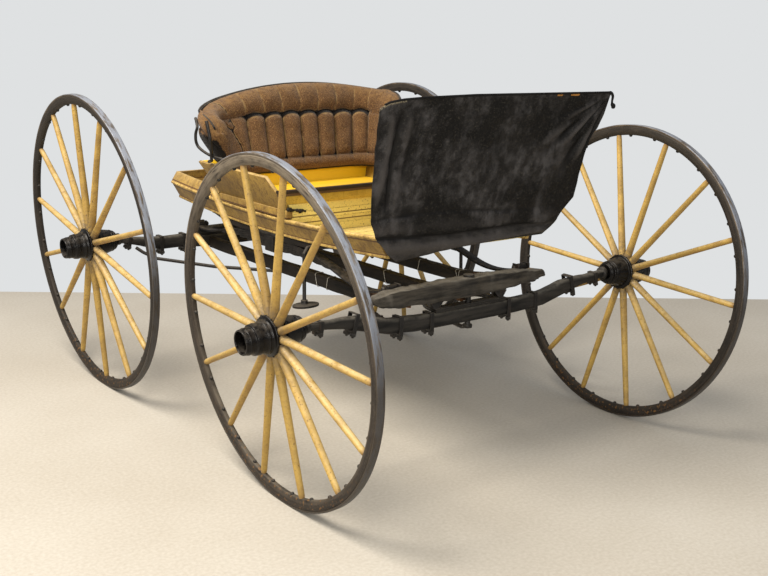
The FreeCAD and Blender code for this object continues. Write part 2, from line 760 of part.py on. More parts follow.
def body_side(label, side):
    """Flared side with a bead along its foot and a moulding along its brim."""
    profile = [
        ("dim.body_foot", "0"), ("dim.body_foot + 5", "3"), ("dim.body_foot + 5", "9"),
        ("dim.body_foot + 3", "12"), ("dim.body_brim - 4", "dim.side_rise - 12"),
        ("dim.body_brim + 2", "dim.side_rise - 9"), ("dim.body_brim + 3", "dim.side_rise - 3"),
        ("dim.body_brim", "dim.side_rise"), (brim("dim.side_rise"), "dim.side_rise"),
        (brim("0"), "0"),
    ]
    section = profile if side > 0 else [(f"-({across})", rise) for across, rise in profile]
    keep(label, swept(label, section, *WHOLE))


def between_sides(low, high):
    """A trapezoid that fills the body from side to side between two heights."""
    return [
        (f"-{brim(low)}", low), (brim(low), low),
        (brim(high), high), (f"-{brim(high)}", high),
    ]


for side_name, side in SIDES:
    body_side(f"body_side_{side_name}", side)

floor_section = between_sides("dim.floor_rise - dim.board", "dim.floor_rise")
keep("body_floor", swept("body_floor", floor_section, *WHOLE))
end_section = between_sides("dim.floor_rise", "dim.side_rise")
for name, start in (("front", "-dim.body_half"), ("rear", "dim.body_half - dim.board")):
    keep(f"body_{name}_panel", swept(f"body_{name}_panel", end_section, start, "dim.board"))


def boot_coaming():
    """Low boards leaning in round the open boot behind the seat."""
    pieces = []
    start = "dim.seat_rear + 40 - dim.body_mid_y"
    length = "dim.body_half - (dim.seat_rear + 40 - dim.body_mid_y)"
    for side_name, side in SIDES:
        profile = [
            ("dim.body_brim", "dim.side_rise"), ("dim.body_brim - 22", "dim.coaming_rise"),
            ("dim.body_brim - 32", "dim.coaming_rise"), ("dim.body_brim - 12", "dim.side_rise"),
        ]
        section = profile if side > 0 else [(f"-({across})", rise) for across, rise in profile]
        pieces.append(swept(f"coaming_{side_name}", section, start, length))
    rear = [
        ("-dim.body_brim", "dim.side_rise"), ("dim.body_brim", "dim.side_rise"),
        ("dim.body_brim - 22", "dim.coaming_rise"),
        ("-dim.body_brim + 22", "dim.coaming_rise"),
    ]
    pieces.append(swept("coaming_rear", rear, "dim.body_half - dim.board", "dim.board"))
    keep("boot_coaming", fused("boot_coaming", pieces))


boot_coaming()


# ---------------------------------------------------------------- seat box

SILL_LOW = 747.5
SILL_INNER = 318  # the sills' inner faces from the middle
RISER_INSET = 6  # the heel board behind the rail's front
SLOPE = math.cos(math.radians(dim.seat_flare))


def seat_sills():
    """Sills along the body's brim that carry the seat box."""
    rise = f"dim.seat_floor - {SILL_LOW}"
    lengths = (f"dim.seat_foot + 4 - {SILL_INNER}", "dim.seat_rear - dim.seat_front", rise)
    pieces = []
    for side_name, corner_x in (("left", SILL_INNER), ("right", -dim.seat_foot - 4)):
        corner = (corner_x, dim.seat_front, SILL_LOW)
        pieces.append(block(f"sill_{side_name}", lengths, corner))
    corner = (-SILL_INNER, dim.seat_rear - 24, SILL_LOW)
    pieces.append(block("sill_rear", (str(2 * SILL_INNER), "24", rise), corner))
    keep("seat_sills", fused("seat_sills", pieces))


def seat_side(label, side):
    """Flared side board, scooped down to the front rail."""
    corners = [
        (front, f"({top} - dim.seat_floor) / {SLOPE}") for front, top in (
            ("dim.seat_front + 8", "dim.seat_floor"), ("dim.seat_rear", "dim.seat_floor"),
            ("dim.seat_rear + 55", "892"), ("2", "898"), ("dim.seat_front", "832"),
            ("dim.seat_front", "800"),
        )
    ]
    board = padded(label, "YZ_Plane", corners, "dim.board")
    turn = Rotation(Vector(0, 1, 0), side * dim.seat_flare)
    inset = turn.multVec(Vector(-side * dim.board / 2, 0, 0))
    spot = Vector(side * dim.seat_foot, 0, dim.seat_floor) + inset
    keep(label, board, Placement(spot, turn))


def seat_rear_board():
    """Rear board, leaning back between the seat sides."""
    rise = 116
    foot = dim.seat_foot - dim.board / SLOPE
    tall = rise / math.cos(math.radians(dim.seat_rake))
    top = foot + rise * math.tan(math.radians(dim.seat_flare))
    corners = [
        (str(-foot), "0"), (str(foot), "0"), (str(top), str(tall)), (str(-top), str(tall)),
    ]
    board = padded("seat_rear_board", "XZ_Plane", corners, "dim.board")
    turn = Rotation(Vector(1, 0, 0), -dim.seat_rake)
    inset = turn.multVec(Vector(0, -dim.board / 2, 0))
    keep("seat_rear_board", board, Placement(Vector(0, dim.seat_rear, dim.seat_floor) + inset, turn))


def seat_board():
    """Boards of the seat itself."""
    inset = 14
    corner = (-dim.seat_foot + inset, dim.seat_front + dim.board + RISER_INSET, dim.seat_floor)
    width = f"2 * (dim.seat_foot - {inset})"
    length = f"dim.seat_rear - {inset} - dim.seat_front - dim.board - {RISER_INSET}"
    keep("seat_board", block("seat_board", (width, length, "14"), corner))


def seat_riser():
    """Heel board under the seat's front edge, from the floor up to the rail."""
    half = [
        ("dim.body_foot - dim.board + 8", "dim.body_low + dim.floor_rise + 3"),
        ("dim.body_brim - dim.board - 3", "dim.body_low + dim.side_rise"),
        (str(SILL_INNER), str(SILL_LOW)), (str(SILL_INNER), "dim.seat_floor"),
        (str(SILL_INNER + 8), "dim.seat_floor"), (str(SILL_INNER + 30), "dim.rail_low"),
    ]
    corners = half + [(f"-({x})", z) for x, z in reversed(half)]
    board = padded("seat_riser", "XZ_Plane", corners, "dim.board")
    middle_y = dim.seat_front + dim.board / 2 + RISER_INSET
    keep("seat_riser", board, Placement(Vector(0, middle_y, 0), Rotation()))


def seat_rail():
    """Brown rail across the seat's front, bowed slightly forward."""
    spread = (dim.rail_low - dim.seat_floor) * math.tan(math.radians(dim.seat_flare))
    half = dim.seat_foot - dim.board / SLOPE + spread - 0.2  # a snug fit between the sides
    bow = 12
    corners = [
        (str(-half), "0"), ("0", str(-bow)), (str(half), "0"), (str(half), "22"), (str(-half), "22"),
    ]
    board = padded("seat_rail", "XY_Plane", corners, "dim.rail_top - dim.rail_low")
    middle = (dim.rail_top + dim.rail_low) / 2
    keep("seat_rail", board, Placement(Vector(0, dim.seat_front, middle), Rotation()))


seat_sills()
for side_name, side in SIDES:
    seat_side(f"seat_side_{side_name}", side)
seat_rear_board()
seat_board()
seat_riser()
seat_rail()


# ---------------------------------------------------------------- seat back

BACK_LEVELS = (
    # height, half width, rear line, front ends, corner radius, all to the outer face
    (dim.back_low, 358, 374, 262, 110),
    (dim.back_top + 4, 462, 492, 236, 200),
)
SHELL = 8
CUSHION = 50
RIM_DROP = {"left": 42, "right": 104}  # how far the rim falls from its middle to each end


def u_wire(level, inset, thickness):
    """Closed U seen from above: outer face set in by inset, then the thickness."""
    height, half, rear, front, corner = level
    outer = (half - inset, rear - inset, corner - inset)
    inner = (half - inset - thickness, rear - inset - thickness, corner - inset - thickness)
    edges = []
    for (wide, back, radius), way in ((outer, 1), (inner, -1)):
        mid_x = wide - radius + radius * math.sqrt(0.5)
        mid_y = back - radius + radius * math.sqrt(0.5)
        spots = [
            Vector(-wide, front, height), Vector(-wide, back - radius, height),
            Vector(-mid_x, mid_y, height), Vector(-wide + radius, back, height),
            Vector(wide - radius, back, height), Vector(mid_x, mid_y, height),
            Vector(wide, back - radius, height), Vector(wide, front, height),
        ]
        if way < 0:
            spots.reverse()
        edges.append(Part.makeLine(spots[0], spots[1]))
        edges.append(Part.Arc(spots[1], spots[2], spots[3]).toShape())
        edges.append(Part.makeLine(spots[3], spots[4]))
        edges.append(Part.Arc(spots[4], spots[5], spots[6]).toShape())
        edges.append(Part.makeLine(spots[6], spots[7]))
        across = inner[0] if way > 0 else -outer[0]
        edges.append(Part.makeLine(spots[7], Vector(across, front, height)))
    return Part.Wire(edges)


def back_trim():
    """What the seat back's top keeps: a crowned rim with rounded front ends."""
    reach = 480  # further out than the seat back
    low = dim.back_low - 20
    left = Vector(reach, 0, dim.back_top - RIM_DROP["left"])
    right = Vector(-reach, 0, dim.back_top - RIM_DROP["right"])
    rim = Part.Arc(right, Vector(0, 0, dim.back_top), left).toShape()
    under = Part.makePolygon([left, Vector(reach, 0, low), Vector(-reach, 0, low), right])
    crown = Part.Face(Part.Wire([rim] + under.Edges)).extrude(Vector(0, 700, 0))
    radius = 90
    front = 234
    above = dim.back_top + 40
    rise = radius * (1 - math.sqrt(0.5))
    halves = []
    for side_name, side in SIDES:
        top = dim.back_top - RIM_DROP[side_name] * 0.8
        start = Vector(0, front, top - radius)
        end = Vector(0, front + radius, top)
        corner = Part.Arc(start, Vector(0, front + rise, top - rise), end).toShape()
        rest = Part.makePolygon([
            end, Vector(0, end.y + 60, above), Vector(0, 700, above), Vector(0, 700, low),
            Vector(0, front, low), start,
        ])
        face = Part.Face(Part.Wire([corner] + rest.Edges))
        halves.append(crown.common(face.extrude(Vector(side * reach, 0, 0))))
    return halves[0].fuse(halves[1])


def back_shell(label, inset, thickness, trim):
    """One layer of the seat back, lofted between its bottom and top levels."""
    wires = [u_wire(level, inset, thickness) for level in BACK_LEVELS]
    solid = Part.makeLoft(wires, True, True)
    keep(label, shaped(label, solid.common(trim)))


trim = back_trim()
back_shell("seat_back_shell", 0, SHELL, trim)
lower_trim = trim.copy()
lower_trim.translate(Vector(0, 3, -4))
back_shell("seat_back_cushion", SHELL + 1.5, CUSHION, lower_trim)


def back_rail():
    """Bare iron at each end of the seat back, down to the seat side."""
    right = [
        (-404, 318, 902), (-422, 262, 914), (-442, 226, 950), (-448, 220, 1000),
        (-455, 232, 1062),
    ]
    pair = [bent_rod(6, right), bent_rod(6, mirrored_x(right))]
    keep("seat_back_rail", shaped("seat_back_rail", Part.makeCompound(pair)))


back_rail()


# ---------------------------------------------------------------- dash

DASH_FRONT = (
    # half width, height: the leather's outline from the bottom up
    (315, dim.dash_low), (395, 770), (420, 845), (424, 930), (430, 1035), (448, 1130),
    (462, dim.dash_top),
)
DASH_FOOT_Y = -725
DASH_BEND_Y = -738
DASH_TOP_Y = -853
DASH_POST_X = 250


def dash_slab(offset, thickness):
    """The dash's bent thickness, seen from the side, wider than the dash."""
    middle_z = 880
    middle_y = DASH_BEND_Y - 22
    spots = [
        Vector(0, DASH_FOOT_Y - offset, dim.dash_low), Vector(0, middle_y - offset, middle_z),
        Vector(0, DASH_TOP_Y - offset, dim.dash_top),
    ]
    edge = Part.Arc(*spots).toShape()
    curve = edge.Curve
    grown = curve.Radius + thickness
    outer = [curve.Center + (spot - curve.Center) * (grown / curve.Radius) for spot in spots]
    far_edge = Part.Arc(outer[2], outer[1], outer[0]).toShape()
    face = Part.Face(Part.Wire([
        edge, Part.makeLine(spots[2], outer[2]), far_edge, Part.makeLine(outer[0], spots[0]),
    ]))
    reach = 600  # further out than the dash
    face.translate(Vector(-reach, 0, 0))
    return face.extrude(Vector(2 * reach, 0, 0))


def dash_outline(inset):
    """Front view of the dash, set in all round, as a deep block."""
    right = [(half - inset, height) for half, height in DASH_FRONT]
    right[0] = (right[0][0], right[0][1] + inset)
    right[-1] = (right[-1][0], right[-1][1] - inset)
    corners = right + [(-half, height) for half, height in reversed(right)]
    wire = Part.makePolygon([Vector(x, -1000, z) for x, z in corners + corners[:1]])
    return Part.Face(wire).extrude(Vector(0, 500, 0))


def dash():
    """Leather dash over an iron frame that leans forward and is footed on the body."""
    skin = dash_slab(0, dim.leather).common(dash_outline(0))
    keep("dash_leather", shaped("dash_leather", skin))
    iron = dash_slab(-9, 8)
    frame = dash_outline(8).cut(dash_outline(30))
    for x in (-DASH_POST_X, 0, DASH_POST_X):
        post = Part.makeBox(20, 500, dim.dash_top - dim.dash_low - 20)
        post.translate(Vector(x - 10, -1000, dim.dash_low + 10))
        frame = frame.fuse(post)
    iron = iron.common(frame)
    keep("dash_frame", shaped("dash_frame", iron.removeSplitter()))
    return iron


frame_iron = dash()


def dash_feet():
    """Forged feet that bolt the dash frame to the body's front."""
    pieces = []
    wide = 26
    front = dim.body_mid_y - dim.body_half
    for x in (-DASH_POST_X, DASH_POST_X):
        foot = Part.makeBox(wide, front - DASH_FOOT_Y - 4, 8)
        foot.translate(Vector(x - wide / 2, DASH_FOOT_Y + 4, 722))
        halves = foot.cut(frame_iron).Solids
        pieces.append(max(halves, key=lambda solid: solid.CenterOfMass.y))
    keep("dash_feet", shaped("dash_feet", Part.makeCompound(pieces)))


dash_feet()


# ---------------------------------------------------------------- steps

def steps():
    """Iron step under each side of the body."""
    pieces = []
    for side in (1, -1):
        points = [
            (side * 290, -235, 665), (side * 330, -240, 664), (side * 348, -248, 646),
            (side * 350, -250, 478),
        ]
        stem = bent_rod(STAY_RADIUS, points)
        rim = Part.Ellipse(Vector(side * 352, -262, 466), 50, 33).toShape()
        tread = Part.Face(Part.Wire([rim])).extrude(Vector(0, 0, 8))
        boss = Part.makeCylinder(12, 16, Vector(side * 350, -250, 470))
        pieces.append(stem.fuse(tread).fuse(boss).removeSplitter())
    keep("steps", shaped("steps", Part.makeCompound(pieces)))


steps()


# ---------------------------------------------------------------- checks and writing

doc.recompute()
for item in doc.Objects:
    if "Invalid" in item.State or "Error" in item.State:
        raise RuntimeError(f"{item.Label}: {item.State}")
for item in subparts:
    if item.Shape.isNull() or not item.Shape.isValid() or not item.Shape.Solids:
        raise RuntimeError(f"{item.Label}: shape is not a valid solid")

os.makedirs("parts", exist_ok=True)
for item in subparts:
    item.Shape.exportStep(os.path.join("parts", item.Label + ".step"))
print(len(subparts), "sub-parts written")
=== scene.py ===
# %% [markdown]
# A light American road wagon, as it stands after a century of use: four tall wooden wheels,
# a steering front axle, three long perches, two side springs, a shallow yellow body, a
# tufted seat back and a leather dash. Its engineering model comes in first and stays where
# it is. The cells below dress it, one kind of piece at a time. The wheels stand on the
# model's joints, the plain irons are eased copies of its nodes, and every other piece is
# drawn in the model's own millimetres, so nothing here has to be fitted by eye.

import json
import math

import bmesh
import bpy
from mathutils import Matrix, Vector, noise
from mathutils.bvhtree import BVHTree


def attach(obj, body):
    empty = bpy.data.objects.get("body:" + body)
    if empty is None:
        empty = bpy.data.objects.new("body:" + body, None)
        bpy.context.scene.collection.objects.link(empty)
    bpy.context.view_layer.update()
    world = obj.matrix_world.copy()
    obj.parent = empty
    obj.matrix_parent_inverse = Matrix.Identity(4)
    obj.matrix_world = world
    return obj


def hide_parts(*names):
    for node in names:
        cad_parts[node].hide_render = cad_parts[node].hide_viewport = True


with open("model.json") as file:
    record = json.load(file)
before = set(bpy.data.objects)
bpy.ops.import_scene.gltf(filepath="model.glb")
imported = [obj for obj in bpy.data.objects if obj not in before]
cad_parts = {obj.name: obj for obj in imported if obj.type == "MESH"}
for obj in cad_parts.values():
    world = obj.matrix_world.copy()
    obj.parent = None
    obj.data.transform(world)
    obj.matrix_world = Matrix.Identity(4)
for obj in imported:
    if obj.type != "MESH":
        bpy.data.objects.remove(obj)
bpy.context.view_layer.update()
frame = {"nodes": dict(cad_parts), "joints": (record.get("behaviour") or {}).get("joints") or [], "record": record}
nodes = frame["nodes"]
joints = {joint["name"]: joint for joint in frame["joints"]}
body_of = {
    name: body for body, names in frame["record"]["behaviour"]["bodies"].items() for name in names}
SIDES = (("left", 1), ("right", -1))

# %% [markdown]
# The camera stands at a tall person's eye level, off the wagon's right front wheel. It
# could be aimed with a Track To constraint, but a plain rotation is easier to read: a
# direction to look in, and a small roll about it. The lens is a mild portrait length, so
# the near wheel isn't swollen.

# %% Camera
EYE = Vector((-2.364, -3.437, 1.448))
LOOK_DOWN, ROLL = math.radians(13.71), math.radians(0.585)
FILM, LENS = 36, 53.05  # millimetres


def added(name, data):
    """A new object of the scene that shows the data."""
    made = bpy.data.objects.new(name, data)
    bpy.context.scene.collection.objects.link(made)
    return made


def aimed(piece, spot, way, roll=0.0):
    """Stands a camera or a lamp at a spot, looking a way, rolled by an angle."""
    turn = way.to_track_quat("-Z", "Y").to_matrix() @ Matrix.Rotation(roll, 3, "Z")
    piece.matrix_world = Matrix.Translation(spot) @ turn.to_4x4()


heading = Vector((0.594, 0.8045, 0)).normalized()
looking = heading * math.cos(LOOK_DOWN) - Vector((0, 0, math.sin(LOOK_DOWN)))
camera = added("camera", bpy.data.cameras.new("camera"))
camera.data.sensor_width, camera.data.lens = FILM, LENS
aimed(camera, EYE, looking, ROLL)
bpy.context.scene.camera = camera
print("camera", [round(value, 3) for value in camera.location])

# %% [markdown]
# Colours are written the way a paint chart or a web page gives them, as six hex digits.
# Blender's shaders want linear light instead, so one function converts them. One more
# small function adds a node: it takes the node's kind, what goes into its sockets, which
# may be numbers or other nodes' outputs, and its settings.

# %% Colour and node helpers
def linear(colour):
    """Six hex digits to the linear colour that shaders use."""
    parts = [int(colour[i:i + 2], 16) / 255 for i in (0, 2, 4)]
    return [p / 12.92 if p <= 0.04045 else ((p + 0.055) / 1.055) ** 2.4 for p in parts] + [1]


def feed(tree, socket, value):
    """Links another node's output to a socket, or sets it to a number or colour."""
    if isinstance(value, bpy.types.NodeSocket):
        tree.links.new(value, socket)
    else:
        socket.default_value = value


def node(tree, kind, inputs=None, **settings):
    """Adds a node, with its settings, and feeds its inputs."""
    made = tree.nodes.new(kind)
    for name, value in settings.items():
        setattr(made, name, value)
    for key, value in (inputs or {}).items():
        feed(tree, made.inputs[key], value)
    return made


print("linear mid grey", round(linear("808080")[0], 3))

# %% [markdown]
# A workshop floor and plain light. The floor is one quad that ends where a wall would
# stand. It is trowelled concrete, matt, with clouds of grey a hand wide and fine grit.

# %% Floor
FLOOR_NEAR, FLOOR_FAR, FLOOR_WIDE = 6.0, 1.6, 9.0  # metres from the wagon's middle


def smoothed(mesh, sharp):
    """Shades a mesh smooth, but for edges sharper than that many degrees."""
    mesh.polygons.foreach_set("use_smooth", [True] * len(mesh.polygons))
    mesh.set_sharp_from_angle(angle=math.radians(sharp))


def plain_mesh(name, points, faces, material=None, sharp=42):
    """A mesh object from points and faces, its faces turned outwards."""
    mesh = bpy.data.meshes.new(name)
    mesh.from_pydata([tuple(point) for point in points], [], faces)
    shell = bmesh.new()
    shell.from_mesh(mesh)
    bmesh.ops.recalc_face_normals(shell, faces=shell.faces)
    shell.to_mesh(mesh)
    shell.free()
    smoothed(mesh, sharp)
    if material:
        mesh.materials.append(material)
    return added(name, mesh)


floor_paint = bpy.data.materials.new("Concrete, trowelled")
floor_paint.use_nodes = True
tree = floor_paint.node_tree
at = node(tree, "ShaderNodeTexCoord").outputs["Object"]
cloud = node(tree, "ShaderNodeTexNoise", {"Vector": at, "Scale": 1.3, "Detail": 6.0}).outputs[0]
grit = node(tree, "ShaderNodeTexNoise", {"Vector": at, "Scale": 90.0, "Detail": 3.0}).outputs[0]
both = node(tree, "ShaderNodeMath", {0: cloud, 1: grit}, operation="ADD").outputs[0]
share = node(tree, "ShaderNodeMapRange", {"Value": both, "From Min": 0.7, "From Max": 1.3})
greys = {0: share.outputs[0], 6: linear("aca598"), 7: linear("bdb8ad")}
colour = node(tree, "ShaderNodeMix", greys, data_type="RGBA").outputs[2]
feed(tree, tree.nodes["Principled BSDF"].inputs["Base Color"], colour)
feed(tree, tree.nodes["Principled BSDF"].inputs["Roughness"], 0.75)

across = Vector((heading.y, -heading.x, 0))
corners = [
    heading * reach + across * side * FLOOR_WIDE
    for reach, side in ((-FLOOR_NEAR, -1), (-FLOOR_NEAR, 1), (FLOOR_FAR, 1), (FLOOR_FAR, -1))
]
floor = plain_mesh("floor", corners, [(0, 1, 2, 3)], floor_paint)
print("floor", FLOOR_NEAR + FLOOR_FAR, "by", 2 * FLOOR_WIDE, "m")

# %% [markdown]
# The world behind the floor is a wall's pale grey for the camera, so that no wall gets in
# the way of a look from behind; everything else sees it dimmer, as fill. A wide soft lamp
# hangs high in front on the left, which puts the light where it shows how round the spokes
# are, and a smaller one stands in front.

# %% World and lamps
world = bpy.data.worlds.new("workshop")
bpy.context.scene.world = world
world.use_nodes = True
tree = world.node_tree
ray = node(tree, "ShaderNodeLightPath").outputs
direct = {0: ray["Is Camera Ray"], 1: ray["Is Transmission Ray"]}
seen = node(tree, "ShaderNodeMath", direct, operation="MAXIMUM").outputs[0]
dimmed = {"Value": ray["Is Glossy Ray"], "To Min": 0.5, "To Max": 0.34}
strength = node(tree, "ShaderNodeMapRange", dimmed).outputs[0]
fill = node(tree, "ShaderNodeBackground", {"Color": linear("f4f6fa"), "Strength": strength})
wall = node(tree, "ShaderNodeBackground", {"Color": linear("dfe1e2"), "Strength": 1.0})
sky = node(tree, "ShaderNodeMixShader", {0: seen, 1: fill.outputs[0], 2: wall.outputs[0]})
feed(tree, tree.nodes["World Output"].inputs[0], sky.outputs[0])
bpy.context.scene.view_settings.view_transform = "Standard"


def soft_lamp(name, spot, wide, watts, colour):
    """A square area lamp at a spot, facing the middle of the wagon."""
    data = bpy.data.lights.new(name, "AREA")
    data.size, data.energy, data.color = wide, watts, linear(colour)[:3]
    aimed(added(name, data), spot, Vector((0, 0, 0.6)) - spot)


key_spot = across * -2.1 - heading * 1.5 + Vector((0, 0, 4.3))
soft_lamp("key lamp", key_spot, 2.2, 330, "fff6ea")
soft_lamp("front lamp", heading * -4.2 + across * 0.4 + Vector((0, 0, 1.9)), 1.8, 85, "fffaf2")
print("lamp at", [round(value, 2) for value in key_spot])

# %% [markdown]
# What every finish here shares. The wagon has stood in a barn, so anything that faces up
# carries pale dust, anything with an edge is rubbed there, and no surface is one colour.
# A material is built as layers: a list of colours, each with the masks that say where it
# lies. A mask comes from noise of a real size in millimetres, from the way the surface
# faces, or from its edges, which the Bevel shader node finds.

# %% Building blocks for finishes
def blotches(tree, at, size, low, high, squash=(1, 1, 1), detail=4.0, seed=0.0):
    """A mask from noise with features of about size millimetres, squashed along the grain."""
    scale = [1000 / size * part for part in squash]
    spread = node(tree, "ShaderNodeMapping", {
        "Vector": at, "Scale": scale, "Location": [seed, seed * 0.7, 0]}).outputs[0]
    grain = node(tree, "ShaderNodeTexNoise", {
        "Vector": spread, "Scale": 1.0, "Detail": detail, "Roughness": 0.62}).outputs[0]
    return node(tree, "ShaderNodeMapRange", {
        "Value": grain, "From Min": low, "From Max": high}).outputs[0]


def upward(tree, low, high):
    """A mask of how much the surface faces up, or down where low and high are negative."""
    normal = node(tree, "ShaderNodeTexCoord").outputs["Normal"]
    rise = node(tree, "ShaderNodeSeparateXYZ", {0: normal}).outputs[2]
    return node(tree, "ShaderNodeMapRange", {
        "Value": rise, "From Min": low, "From Max": high}).outputs[0]


def rubbed_edges(tree, reach):
    """A mask along the edges, out to reach millimetres from them."""
    rounded = node(tree, "ShaderNodeBevel", {"Radius": reach / 1000}, samples=6).outputs[0]
    true = node(tree, "ShaderNodeNewGeometry").outputs["Normal"]
    same = node(tree, "ShaderNodeVectorMath", {0: rounded, 1: true}, operation="DOT_PRODUCT")
    return node(tree, "ShaderNodeMapRange", {
        "Value": same.outputs["Value"], "From Min": 0.98, "From Max": 0.7}).outputs[0]


def times(tree, *masks):
    """The masks or numbers multiplied together: where all of them lie."""
    product = masks[0]
    for mask in masks[1:]:
        pair = {0: product, 1: mask}
        step = node(tree, "ShaderNodeMath", pair, operation="MULTIPLY", use_clamp=True)
        product = step.outputs[0]
    return product


def either(tree, *masks):
    """The largest of several masks: where any of them lies."""
    largest = masks[0]
    for mask in masks[1:]:
        pair = {0: largest, 1: mask}
        largest = node(tree, "ShaderNodeMath", pair, operation="MAXIMUM").outputs[0]
    return largest


def layered(tree, base, *layers):
    """Colours laid over a base, each as (colour, masks ...), which are multiplied."""
    under = linear(base) if isinstance(base, str) else base
    for colour, *masks in layers:
        over = linear(colour) if isinstance(colour, str) else colour
        laid = {0: times(tree, *masks), 6: under, 7: over}
        under = node(tree, "ShaderNodeMix", laid, data_type="RGBA").outputs[2]
    return under


def finish(tree, colour, roughness, relief=None, depth=0.5, **sockets):
    """Wires colour, roughness and a bump of depth millimetres into the tree's shader."""
    shader = tree.nodes["Principled BSDF"]
    feed(tree, shader.inputs["Base Color"], colour)
    feed(tree, shader.inputs["Roughness"], roughness)
    for key, value in sockets.items():
        shader.inputs[key.replace("_", " ")].default_value = value
    if relief is not None:
        bump = node(tree, "ShaderNodeBump", {"Height": relief, "Distance": depth / 1000})
        feed(tree, shader.inputs["Normal"], bump.outputs[0])


def new_finish(name):
    """An empty material: its node tree, and the Object coordinates to start from."""
    material = bpy.data.materials.new(name)
    material.use_nodes = True
    at = node(material.node_tree, "ShaderNodeTexCoord").outputs["Object"]
    return material, material.node_tree, at


print("masks: blotches, upward, rubbed edges, and where they meet")

# %% [markdown]
# Yellow coach paint on hickory, the spokes' finish: thin oil paint, brushed on over the
# split and shaved wood, so it is satin and its colour is uneven. It is clean and warm on
# the faces, greyed by dust on top, brown on the undersides, partly a stain and partly
# painted shade, and worn to the brown primer along the edges and at both ends, which
# hands and mud reach. How far a point is along its spoke is stored in the mesh, so the
# worn ends follow it.

# %% Spoke finish
spoke_paint, tree, at = new_finish("Hickory, yellow coach paint")
along, tone = (
    node(tree, "ShaderNodeAttribute", attribute_name=name).outputs["Fac"]
    for name in ("along", "tone"))
foot_end, rim_end = (
    node(tree, "ShaderNodeMapRange", {"Value": along, "From Min": low, "From Max": high}).outputs[0]
    for low, high in ((0.17, 0.0), (0.965, 1.0)))
dust = times(tree, upward(tree, 0.1, 0.9), blotches(tree, at, 30, 0.3, 0.6, seed=3))
# the undersides browned: partly a stain and partly painted shade
under = times(tree, upward(tree, -0.2, -0.9), blotches(tree, at, 25, 0.35, 0.6, seed=5))
chips = times(tree, rubbed_edges(tree, 5), blotches(tree, at, 16, 0.5, 0.6, seed=9))
colour = layered(
    tree, "a88940", ("c09e50", tone),
    ("866936", blotches(tree, at, 60, 0.42, 0.62), 0.55), ("c9b483", dust, 0.7),
    ("8a6238", under, 0.6), ("7d5f34", blotches(tree, at, 7, 0.45, 0.7), 0.35),
    ("553820", chips, 0.85), ("4a3018", blotches(tree, at, 6, 0.6, 0.68, seed=4), 0.8),
    ("6c5c46", foot_end, blotches(tree, at, 12, 0.3, 0.55, seed=2)), ("7a5c36", rim_end, 0.8),
)
finish(tree, colour, 0.55, blotches(tree, at, 9, 0.3, 0.7, (0.2, 1, 1)), 0.35)
print("finish:", spoke_paint.name)

# %% [markdown]
# The steel tyre is a flat bar, bent, welded and shrunk on hot. Its tread is burnished by
# gravel, and its blue-grey is partly a painted reflection; its sides are brown with rust
# and dust. The whole tyre is painted darker low down, as a painted dark reflection. Both
# patterns run round the rim, so they use places that the mesh carries: the distance round
# it, the radius, and the place along the axle.

# %% Tyre finish
tyre_steel, tree, at = new_finish("Tyre steel, worn and browned")
high = node(tree, "ShaderNodeSeparateXYZ", {0: at}).outputs[2]
tread = node(tree, "ShaderNodeAttribute", attribute_name="tread").outputs["Fac"]
rim = node(tree, "ShaderNodeAttribute", attribute_name="round_rim").outputs["Vector"]
bare = blotches(tree, rim, 26, 0.4, 0.52, (0.4, 1, 3), detail=8.0, seed=3)
pits = blotches(tree, at, 3, 0.5, 0.7, detail=6.0)
# darker low down: a painted dark reflection
painted_dark_reflection = node(tree, "ShaderNodeMapRange", {"Value": high, "From Min": 0.74, "From Max": 0.5})
# the tread's blue-grey is burnished steel and partly a painted reflection
colour = layered(
    tree, "4b4238", ("6d6253", blotches(tree, rim, 40, 0.45, 0.6, (0.5, 1, 3), detail=6.0)),
    ("858c98", tread, bare, 0.9), ("231c15", painted_dark_reflection.outputs[0], 0.88), ("66563f", pits, 0.45),
)
rough = node(tree, "ShaderNodeMapRange", {"Value": pits, "To Min": 0.42, "To Max": 0.68})
finish(tree, colour, rough.outputs[0], pits, 0.25, Metallic=0.15)
print("finish:", tyre_steel.name)

# %% [markdown]
# Under the tyre the felloe is bent hickory in black paint, dull and gone grey-brown, with
# bare tan patches. The wheel that stands nearest the barn's door, the right front one, has
# caught most of the dust; the others have stayed darker. The paint has flaked lowest down.

# %% Felloe finish
felloe_paint, tree, at = new_finish("Felloe, black paint gone brown")
across_it, ahead, high = node(tree, "ShaderNodeSeparateXYZ", {0: at}).outputs
dusty_wheel = times(tree, *(
    node(tree, "ShaderNodeMapRange", {
        "Value": value, "From Min": low, "From Max": top, "To Min": least}).outputs[0]
    for value, low, top, least in (
        (high, 0.1, 0.6, 0.35), (across_it, -0.4, -0.5, 0.0), (ahead, 0.0, -0.1, 0.0))))
clean = {0: 1.0, 1: dusty_wheel}
clean_wheel = node(tree, "ShaderNodeMath", clean, operation="SUBTRACT").outputs[0]
dusty_wheel = node(tree, "ShaderNodeMapRange", {"Value": dusty_wheel, "To Min": 0.22}).outputs[0]
bottom, top = (
    node(tree, "ShaderNodeMapRange", {"Value": high, "From Min": low, "From Max": far}).outputs[0]
    for low, far in ((0.24, 0.06), (0.72, 1.0)))
rim = node(tree, "ShaderNodeAttribute", attribute_name="round_rim").outputs["Vector"]
BENT, FINE_BENT = (0.3, 1, 1), (0.06, 1, 1)  # the grain runs round the rim
dust = times(tree, upward(tree, 0.0, 0.9), blotches(tree, rim, 18, 0.3, 0.6, BENT))
bare = times(tree, rubbed_edges(tree, 7), blotches(tree, rim, 45, 0.46, 0.58, BENT, seed=4))
streak = blotches(tree, rim, 7, 0.4, 0.66, FINE_BENT, detail=6.0, seed=6)
settled = blotches(tree, rim, 12, 0.34, 0.56, (0.15, 1, 1), detail=6.0, seed=8)
